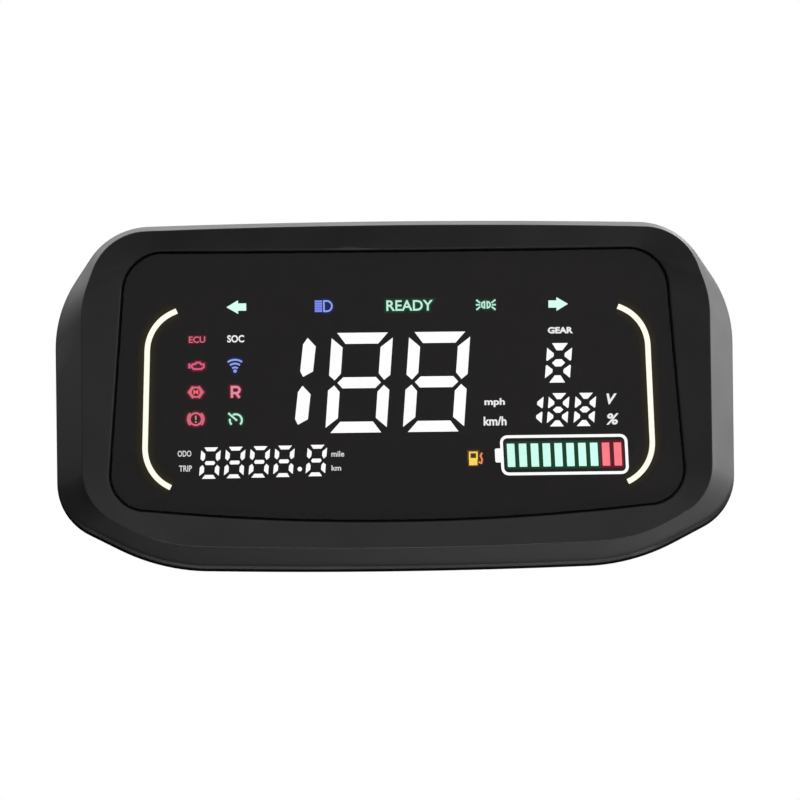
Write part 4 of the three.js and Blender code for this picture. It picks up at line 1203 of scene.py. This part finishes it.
def build_legends():
    legend("legend_ready", "READY", (-2.45, 9.15, 21.53, 24.18), MINT, MINT_HALO, bold=0.018)
    legend("legend_ecu", "ECU", (-51.67, -47.61, 14.11, 15.73), ROSE, ROSE_HALO, bold=0.022)
    legend("legend_soc", "SOC", (-42.15, -37.95, 14.11, 15.93), SOFT_WHITE, bold=0.028)
    legend("legend_odo", "ODO", (-54.8, -51.4, -14.15, -12.65), DIM_WHITE, bold=0.02)
    legend("legend_trip", "TRIP", (-54.5, -51.3, -17.85, -16.35), DIM_WHITE, bold=0.02)
    legend("legend_mile", "mile", (-16.6, -13.4, -14.65, -13.2), DIM_WHITE, bold=0.02)
    legend("legend_km", "km", (-16.6, -14.2, -18.1, -16.75), DIM_WHITE, bold=0.02)
    legend("legend_mph", "mph", (21.75, 26.85, -2.75, -0.55), SOFT_WHITE, bold=0.03)
    legend("legend_kmh", "km/h", (21.5, 27.2, -7.37, -5.1), SOFT_WHITE, bold=0.025)
    legend("legend_gear", "GEAR", (37.8, 44.1, 15.44, 17.06), SOFT_WHITE, bold=0.045)
    legend("legend_volt", "V", (52.3, 54.9, -2.41, 0.29), SOFT_WHITE, lean=0.25, bold=0.035)
    legend("legend_percent", "%", (52.2, 55.3, -7.5, -4.67), SOFT_WHITE, lean=0.15, bold=0.025)


def build_gear_letter():
    x, z = -40.2, 1.78
    bowl = arc((x + 0.2, z + 0.5), 0.75, 90, -90, 10)
    lines = [
        at(x, z, (-0.95, -1.45), (-0.95, 1.25), (-0.1, 1.25)),
        [*at(x, z, (-0.75, 1.25)), *bowl, *at(x, z, (-0.75, -0.25))],
        at(x, z, (0.05, -0.25), (0.95, -1.45)),
    ]
    icon("legend_r", PALE_ROSE, ROSE_HALO, lines, width=0.62)


def build_arrows():
    tip, neck, shaft, head = 2.45, -0.45, 0.9, 1.7
    upper = [(neck, head), (neck, shaft), (-tip, shaft)]
    shape = [(tip, 0), *upper, *[(a, -b) for a, b in reversed(upper)]]
    for name, x, z, side in (("turn_arrow_left", -39.8, 22.9, -1), ("turn_arrow_right", 40.5, 22.8, 1)):
        outline = at(x, z, *[(side * a, b) for a, b in shape])
        icon(name, PALE_MINT, MINT_HALO, fills=[outline], spread=0.5)


def build_beam_icon():
    x, z = -17.9, 22.9
    radius = 1.28
    beams = [at(x, z, (-2.4, up), (-0.55, up)) for up in (-1.2, -0.6, 0, 0.6, 1.2)]
    bowl = arc((x + 0.6, z), radius, -90, 90, 14)
    lamp = [*at(x, z, (-0.1, -radius)), *bowl, *at(x, z, (-0.1, radius))]
    icon("beam_lamp", PALE_BLUE, BLUE_HALO, loops=[lamp])
    # A painted glow fills the lamp's outline.
    mark("beam_lamp_back_glow", [plate(lamp, (HALO_LAYER[0] - 0.01, HALO_LAYER[1]))], BLUE_HALO)
    icon("beam_rays", BLUE, None, beams, width=0.5)


def build_position_icon():
    """Two small lamps back to back, each with three rays."""
    x, z = 22.4, 22.8
    bowls, rays = [], []
    for side in (-1, 1):
        half_round = arc((0.35, 0), 0.75, -90, 90, 8)
        bowls.append(at(x, z, *[(side * p.x, p.y) for p in half_round]))
        rays += [at(x, z, (side * 1.4, up * 0.45), (side * 2.4, up * 1.25)) for up in (-1, 1)]
        rays.append(at(x, z, (side * 1.5, 0), (side * 2.5, 0)))
    icon("position_lamps", MINT, MINT_HALO, rays, bowls)


def build_controller_icon():
    x, z = -49.8, 8.45
    top = [(-1.4, -0.1), (-1.0, 0.35), (-0.4, 0.35), (-0.1, 0.75), (0.8, 0.75), (1.1, 0.3), (1.75, 0.3)]
    block = at(x, z, *top, (1.75, -0.4), (1.1, -0.85), (-0.8, -0.85))
    fan = at(x, z, (-1.85, 0.6), (-1.85, -0.7))
    icon("controller_fault", DEEP_ROSE, ROSE_HALO, [fan], [block], width=0.5)


def build_motor_icon():
    x, z = -50.1, 1.85
    brackets = [at(x, z, (side * 0.7, 1.5), (side * 1.8, 0), (side * 0.7, -1.5)) for side in (-1, 1)]
    icon("motor_fault", ROSE, ROSE_HALO, brackets, [circle((x, z), 1.2)], width=0.45)
    legend("motor_fault_m", "M", (x - 0.6, x + 0.6, z - 0.5, z + 0.6), RED, bold=0.04)


def build_brake_icon():
    x, z = -50.2, -4.85
    brackets = [arc((x, z), 1.98, 132 + turn, 228 + turn) for turn in (0, 180)]
    icon("brake_fault", ROSE, ROSE_HALO, brackets, [circle((x, z), 1.5)], width=0.46)
    stem, dot = at(x, z, (0, 0.85), (0, -0.2)), circle((x, z - 0.7), 0.24)
    icon("brake_fault_mark", GLARE, None, [stem], fills=[dot])


def build_link_icon():
    x, z = -40.3, 6.9
    waves = [arc((x, z - 0.2), radius, 55, 125, 12) for radius in (1.2, 2.15, 3.1)]
    icon("wireless_link", PALE_BLUE, BLUE_HALO, waves, fills=[circle((x, z + 0.1), 0.42)], width=0.45)


def build_cruise_icon():
    x, z = -40.25, -5.25
    gauge = [arc((x, z), 1.5, start, end) for start, end in ((-45, 120), (165, 225))]
    needle = at(x, z, (-1.85, 1.8), (0.3, -0.1))
    icon("cruise_gauge", MINT, MINT_HALO, [*gauge, needle], width=0.48)


def build_pump_icon():
    x, z = 19.0, -15.5
    body = at(x, z, (-1.1, 1.5), (0.7, 1.5), (0.7, -0.1), (-1.1, -0.1))
    tank = at(x, z, (-1.25, -1.7), (0.8, -1.7), (0.8, 0.1), (-1.25, 0.1))
    icon("charge_pump", AMBER, AMBER_HALO, loops=[body], fills=[tank])
    hose = at(x, z, (1.1, -0.9), (1.8, -1.2), (2.0, -0.3), (1.6, 0.6), (2.0, 1.4))
    icon("charge_plug", ORANGE, None, [hose], width=0.45)


BATTERY = {"x": 41.6, "z": -14.85, "width": 31.2, "height": 9.3, "corner": 1.5, "lean": -0.04}
CELL = {"first": -13.35, "pitch": 2.97, "width": 1.9, "height": 5.8}


def build_battery():
    """A battery's outline with its nub on the left, eight charge bars and two bars of reserve."""
    x, z, lean = BATTERY["x"], BATTERY["z"], BATTERY["lean"]
    frame_line = strip(rounded_box(**BATTERY), 0.72, INK_LAYER, closed=True)
    nub = rounded_box(x - BATTERY["width"] / 2 - 0.95, z, 1.6, 3.5, 0.4, lean)
    mark("battery_frame", [frame_line, plate(nub, INK_LAYER)], WHITE)
    pitch, height = CELL["pitch"], CELL["height"]
    groups = (
        ("battery_cells", BAR_MINT, MINT_HALO, range(8)),
        ("battery_reserve", BAR_RED, ROSE_HALO, (8, 9)),
    )
    for name, colour, halo, cells in groups:
        centres = [x + CELL["first"] + pitch * k for k in cells]
        bars = [rounded_box(c, z, CELL["width"], height, 0.12, lean) for c in centres]
        mark(name, [plate(bar, INK_LAYER) for bar in bars], colour)
        middle, reach = (centres[0] + centres[-1]) / 2, centres[-1] - centres[0] + pitch
        # A painted glow of the bars' halo colour lies behind them.
        back = rounded_box(middle, z, reach, height + 1.2, 0.3, lean)
        mark(name + "_back_glow", [plate(back, HALO_LAYER)], halo)


# The bracket-shaped light bar of one side, before its corners are bent round.
BAR = {"path": [(55.0, 22.1), (62.2, 18.9), (63.5, -18.7), (57.0, -21.8)], "bend": 10.6, "shift": 0.4}


def bent(path, radius, steps=12):
    """An open path with its inner corners rounded."""
    line = [path[0]]
    for before, p, after in zip(path, path[1:], path[2:]):
        back, on = (before - p).normalized(), (after - p).normalized()
        half = math.acos(back.dot(on)) / 2
        centre = p + (back + on).normalized() * radius / math.sin(half)
        start = p + back * radius / math.tan(half) - centre
        turn = math.copysign(math.pi - 2 * half, back.cross(on))
        line += [centre + Matrix.Rotation(-turn * k / steps, 2) @ start for k in range(steps + 1)]
    return [*line, path[-1]]


def build_light_bars():
    for name, side in (("left", -1), ("right", 1)):
        path = bent([Vector((BAR["shift"] + side * x, z)) for x, z in BAR["path"]], BAR["bend"])
        mark(f"halo_bar_{name}", [strip(path, 1.35, INK_LAYER)], CREAM)
        for k, (width, colour) in enumerate(BAR_HALOS.items()):
            layer = (FILM_Y - 0.01 * (k + 1), FILM_Y - 0.01 * k)
            mark(f"halo_bar_{name}_glow_{k + 1}", [strip(path, width, layer)], colour)


build_cover()
for screws, facing in ((CASE_SCREWS, 1), (MODULE_SCREWS, 1), (BOARD_SCREWS, -1)):
    for screw_node in screws:
        build_screw(screw_node, facing)
for insert_node in INSERTS:
    build_insert(insert_node)
build_vent()
build_grommet()
build_cable()
build_boot()
build_plug_seal()
for finish, edge_width, eased_nodes in EASED:
    for eased_node in eased_nodes:
        ease_edges(eased_node, edge_width, finish)
build_digits()
build_legends()
build_gear_letter()
build_arrows()
build_beam_icon()
build_position_icon()
build_controller_icon()
build_motor_icon()
build_brake_icon()
build_link_icon()
build_cruise_icon()
build_pump_icon()
build_battery()
build_light_bars()


# ---- stage, light and camera ----

def seen_white(tree, shader):
    """A shader that the camera sees as plain white, and everything else as it is."""
    is_camera = node(tree, "LightPath").outputs["Is Camera Ray"]
    white = node(tree, "Emission", (1, 1, 1, 1), 1.0)
    return node(tree, "MixShader", is_camera, shader.outputs[0], white.outputs[0])


FLOOR_DROP = 60
FLOOR_SIZE = 4000
FLOOR_ACROSS = (-0.20, 0.40)  # metres, from dark to pale
FLOOR_AHEAD = (-0.7, -1.3)


def build_stage():
    """A floor that the camera sees as white. To the object it has painted shade: darker on the left, except
    far ahead.
    """
    material, tree = start_material("stage_white")
    where = node(tree, "SeparateXYZ", node(tree, "TexCoord").outputs["Object"])
    # Painted shade: the floor's own colour runs dark on the left and pale far ahead, so that the light it
    # throws back is uneven.
    across = remap(tree, where.outputs["X"], *FLOOR_ACROSS)
    ahead = remap(tree, where.outputs["Y"], *FLOOR_AHEAD, 0, 0.8)
    share = node(tree, "Math", across, ahead, operation="MAXIMUM").outputs[0]
    matt = node(tree, "BsdfDiffuse", ramp(tree, share, [(0, 0.04), (1, 0.8)]))
    finished(material, seen_white(tree, matt))
    level, half = cad_box[0].z / MM - FLOOR_DROP, FLOOR_SIZE
    corners = [Vector((x, y, level)) for x, y in [(-half, -half), (half, -half), (half, half), (-half, half)]]
    make_object("floor", corners, [(0, 1, 2, 3)], material, body=None)


ROOM_LEVEL = 0.35
ROOM_SLOPE = (0.10, 0.0, 0.20)


def build_world():
    """White to the camera; to the object, a dim room that is a little brighter above and on its right."""
    world = bpy.data.worlds.new("studio")
    bpy.context.scene.world = world
    world.use_nodes = True
    tree = world.node_tree
    tree.nodes.clear()
    direction = node(tree, "TexCoord").outputs["Generated"]
    towards = node(tree, "VectorMath", direction, ROOM_SLOPE, operation="DOT_PRODUCT").outputs["Value"]
    room = node(tree, "Math", towards, ROOM_LEVEL, operation="ADD").outputs[0]
    dim = node(tree, "Background", (1, 1, 1, 1), room)
    node(tree, "OutputWorld", seen_white(tree, dim).outputs[0])


def soft_box(name, position, aim, width, height, radiance, diffuse=True, spread=180):
    """A rectangular light, in metres; radiance is its mean brightness and spread its beam in degrees.

    Without diffuse it only shows as a reflection.
    """
    light = bpy.data.lights.new(name, "AREA")
    light.spread = math.radians(spread)
    light.shape, light.size, light.size_y = "RECTANGLE", width, height
    light.energy = radiance * width * height * math.pi
    obj = add_object(name, light)
    obj.location = position
    obj.rotation_mode = "QUATERNION"
    obj.rotation_quaternion = (Vector(aim) - Vector(position)).to_track_quat("-Z", "Y")
    obj.visible_diffuse = diffuse


# The camera is turned and rolled by these degrees, and stands this many millimetres from the ridge.
CAMERA = {"distance": 600, "yaw": 1.652, "roll": 0.693}
SENSOR_MM = 36
LENS_MM = 109.125
LENS_SHIFT = (0.00275, -0.0035)


def build_camera():
    yaw, roll = math.radians(CAMERA["yaw"]), math.radians(CAMERA["roll"])
    forward = Vector((math.sin(yaw), math.cos(yaw), 0))
    right = Vector((math.cos(yaw), -math.sin(yaw), 0))
    up = Vector((0, 0, 1))
    across = right * math.cos(roll) - up * math.sin(roll)
    upward = right * math.sin(roll) + up * math.cos(roll)
    data = bpy.data.cameras.new("camera")
    data.lens, data.sensor_width = LENS_MM, SENSOR_MM
    data.shift_x, data.shift_y = LENS_SHIFT
    data.clip_start, data.clip_end = 0.01, 50
    camera = add_object("camera", data)
    position = (Vector((0, RIDGE_Y, 0)) - forward * CAMERA["distance"]) * MM
    axes = Matrix((across, upward, -forward)).transposed()
    camera.matrix_world = Matrix.Translation(position) @ axes.to_4x4()
    bpy.context.scene.camera = camera


build_stage()
build_world()
soft_box("side_light", (0.65, 0.30, 0.32), (0, -0.03, 0), 0.6, 1.1, 1.75)
soft_box("top_light", (-0.15, 0.55, 0.40), (0, -0.03, 0), 1.1, 0.5, 0.85)
soft_box("edge_light", (0.70, -0.12, 0.05), (0, -0.03, 0), 0.25, 0.5, 0.9)
soft_box("lip_light", (0, -0.070, -0.10), (0, -0.026, -0.045), 0.44, 0.05, 0.65, diffuse=False, spread=50)
soft_box("corner_light", (0.45, 0.58, 0.45), (0, -0.03, 0), 0.3, 0.3, 4.5, diffuse=False)
build_camera()
bpy.context.scene.view_settings.view_transform = "Standard"
